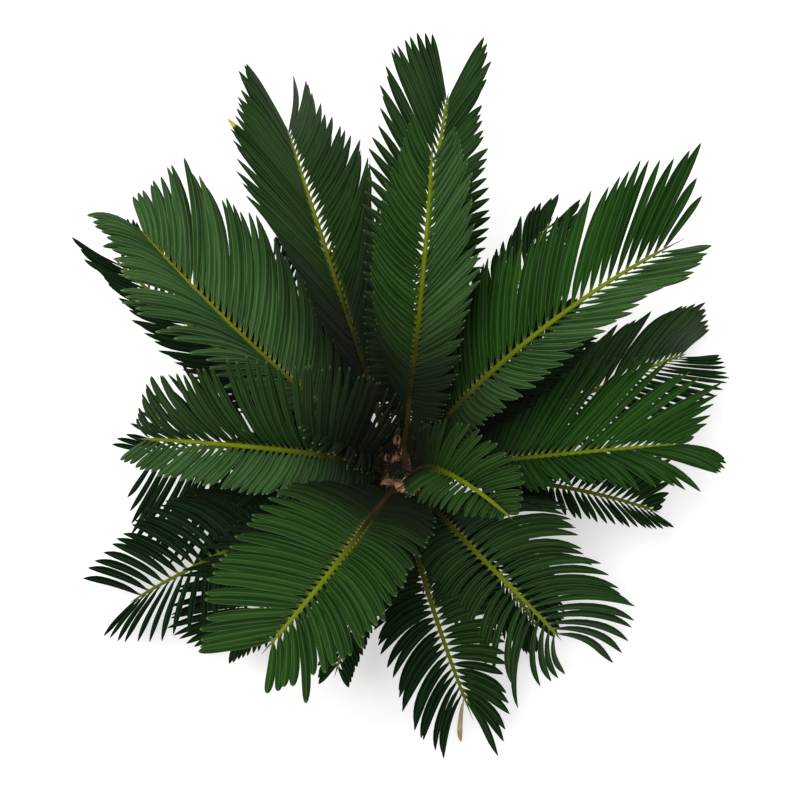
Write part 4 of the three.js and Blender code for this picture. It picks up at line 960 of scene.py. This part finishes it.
b = Build()
strands = 2600
cols = 52
for q in range(strands):
    k = rng.random()
    a = rng.random() * 2 * math.pi
    if q % 2:
        rr = 8 + 30 * k ** 0.6
        z = np.interp(rr, [0, 12, 24, 32, 38], [133, 131, 125, 120, 113]) - 1
        out = np.array([math.cos(a), math.sin(a), 0.0])
        p = np.array([rr * math.cos(a), rr * math.sin(a), z])
        if math.hypot(p[0] - HOLLOW[0], p[1] - HOLLOW[1]) < 10 + 4 * rng.random():
            continue
        way = np.array([0, 0, 1.0]) + out * (0.2 + 0.5 * rng.random()) + rng.normal(0, 0.35, 3)
    else:
        z = 86 + 34 * k ** 0.5
        r = radius_at(z) * out_of_round(a) - 2
        out = np.array([math.cos(a), math.sin(a), 0.0])
        p = out * r + np.array([0, 0, z])
        way = out * 0.8 + np.array([0, 0, 0.9]) + rng.normal(0, 0.35, 3)
    way = unit(way)
    length = 4.5 + 5.5 * rng.random()
    side_way = unit(np.cross(way, rng.normal(0, 1, 3)))
    other = np.cross(way, side_way)
    w = 0.20 + 0.14 * rng.random()
    curl = side_way * rng.normal(0, 1.4)
    tri0 = [p + w * (math.cos(t) * side_way + math.sin(t) * other) for t in (0, 2.094, 4.189)]
    tri1 = [p + way * length * 0.55 + curl * 0.35 + 0.7 * w * (math.cos(t) * side_way + math.sin(t) * other) for t in (0, 2.094, 4.189)]
    tip = p + way * length + curl
    box_x, box_y = (q % cols) / cols, (q // cols) / 50
    verts = np.array(tri0 + tri1 + [tip])
    quad = np.array([[i, (i + 1) % 3, 3 + (i + 1) % 3, 3 + i] for i in range(3)])
    tri = np.array([[3 + i, 3 + (i + 1) % 3, 6] for i in range(3)] + [[2, 1, 0]])
    uq = np.array([[[i / 3, 0], [(i + 1) / 3, 0], [(i + 1) / 3, .5], [i / 3, .5]] for i in range(3)])
    ut = np.array([[[i / 3, .5], [(i + 1) / 3, .5], [(i + .5) / 3, 1]] for i in range(3)] + [[[0.02, 0.02]] * 3])
    place = lambda uv: np.stack([box_x + (0.05 + 0.9 * uv[..., 0]) / cols, box_y + (0.05 + 0.9 * uv[..., 1]) / 50], -1)
    b.add(verts, quad, 0, place(uq), uq, float(rng.random() * 0.7), 0.0)
    b.faces.append(tri + b.count - 7)
    b.mats.append(np.zeros(4, int))
    b.bake.append(place(ut))
    b.leaf.append(ut)
ob = b.mesh("crown_wool", [WOOL], 80)
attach(ob, "root")
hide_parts("crown_apex")

# ------------------------------------------------------------------ floor, light and camera
floor_material, nt, p = new_material("floor")
p.inputs["Base Color"].default_value = (0.86, 0.86, 0.86, 1)
p.inputs["Roughness"].default_value = 0.9
p.inputs["Specular IOR Level"].default_value = 0.1
p.inputs["Emission Color"].default_value = (1.0, 1.0, 1.0, 1)
p.inputs["Emission Strength"].default_value = 0.45
me = bpy.data.meshes.new("floor")
me.from_pydata([(-9, -9, -0.0003), (9, -9, -0.0003), (9, 9, -0.0003), (-9, 9, -0.0003)], [], [(0, 1, 2, 3)])
me.materials.append(floor_material)
floor = bpy.data.objects.new("floor", me)
bpy.context.scene.collection.objects.link(floor)

world = bpy.data.worlds.new("studio")
bpy.context.scene.world = world
world.use_nodes = True
world.node_tree.nodes["Background"].inputs[0].default_value = (1.0, 1.0, 1.0, 1)
world.node_tree.nodes["Background"].inputs[1].default_value = 0.42


def softbox(name, place, size, power, aim=(0, 0, 0.2), colour=(1, 1, 1)):
    light = bpy.data.lights.new(name, "AREA")
    light.shape = "DISK"
    light.size = size
    light.energy = power
    light.color = colour
    ob = bpy.data.objects.new(name, light)
    bpy.context.scene.collection.objects.link(ob)
    ob.location = place
    from mathutils import Vector
    ob.rotation_euler = (Vector(aim) - Vector(place)).to_track_quat("-Z", "Y").to_euler()
    return ob


softbox("key", (-0.55, -0.25, 2.2), 1.2, 27.0)
softbox("fill", (1.5, 0.8, 1.9), 1.8, 9.0)

camera = bpy.data.cameras.new("camera")
camera.sensor_width = 36.0
camera.lens = 51.75
camera.clip_end = 60.0
eye = bpy.data.objects.new("camera", camera)
bpy.context.scene.collection.objects.link(eye)
eye.location = (0.0, -0.35537, 1.21371)
eye.rotation_euler = (math.radians(21.483), 0.0, 0.0)
bpy.context.scene.camera = eye
bpy.context.scene.view_settings.view_transform = "Standard"
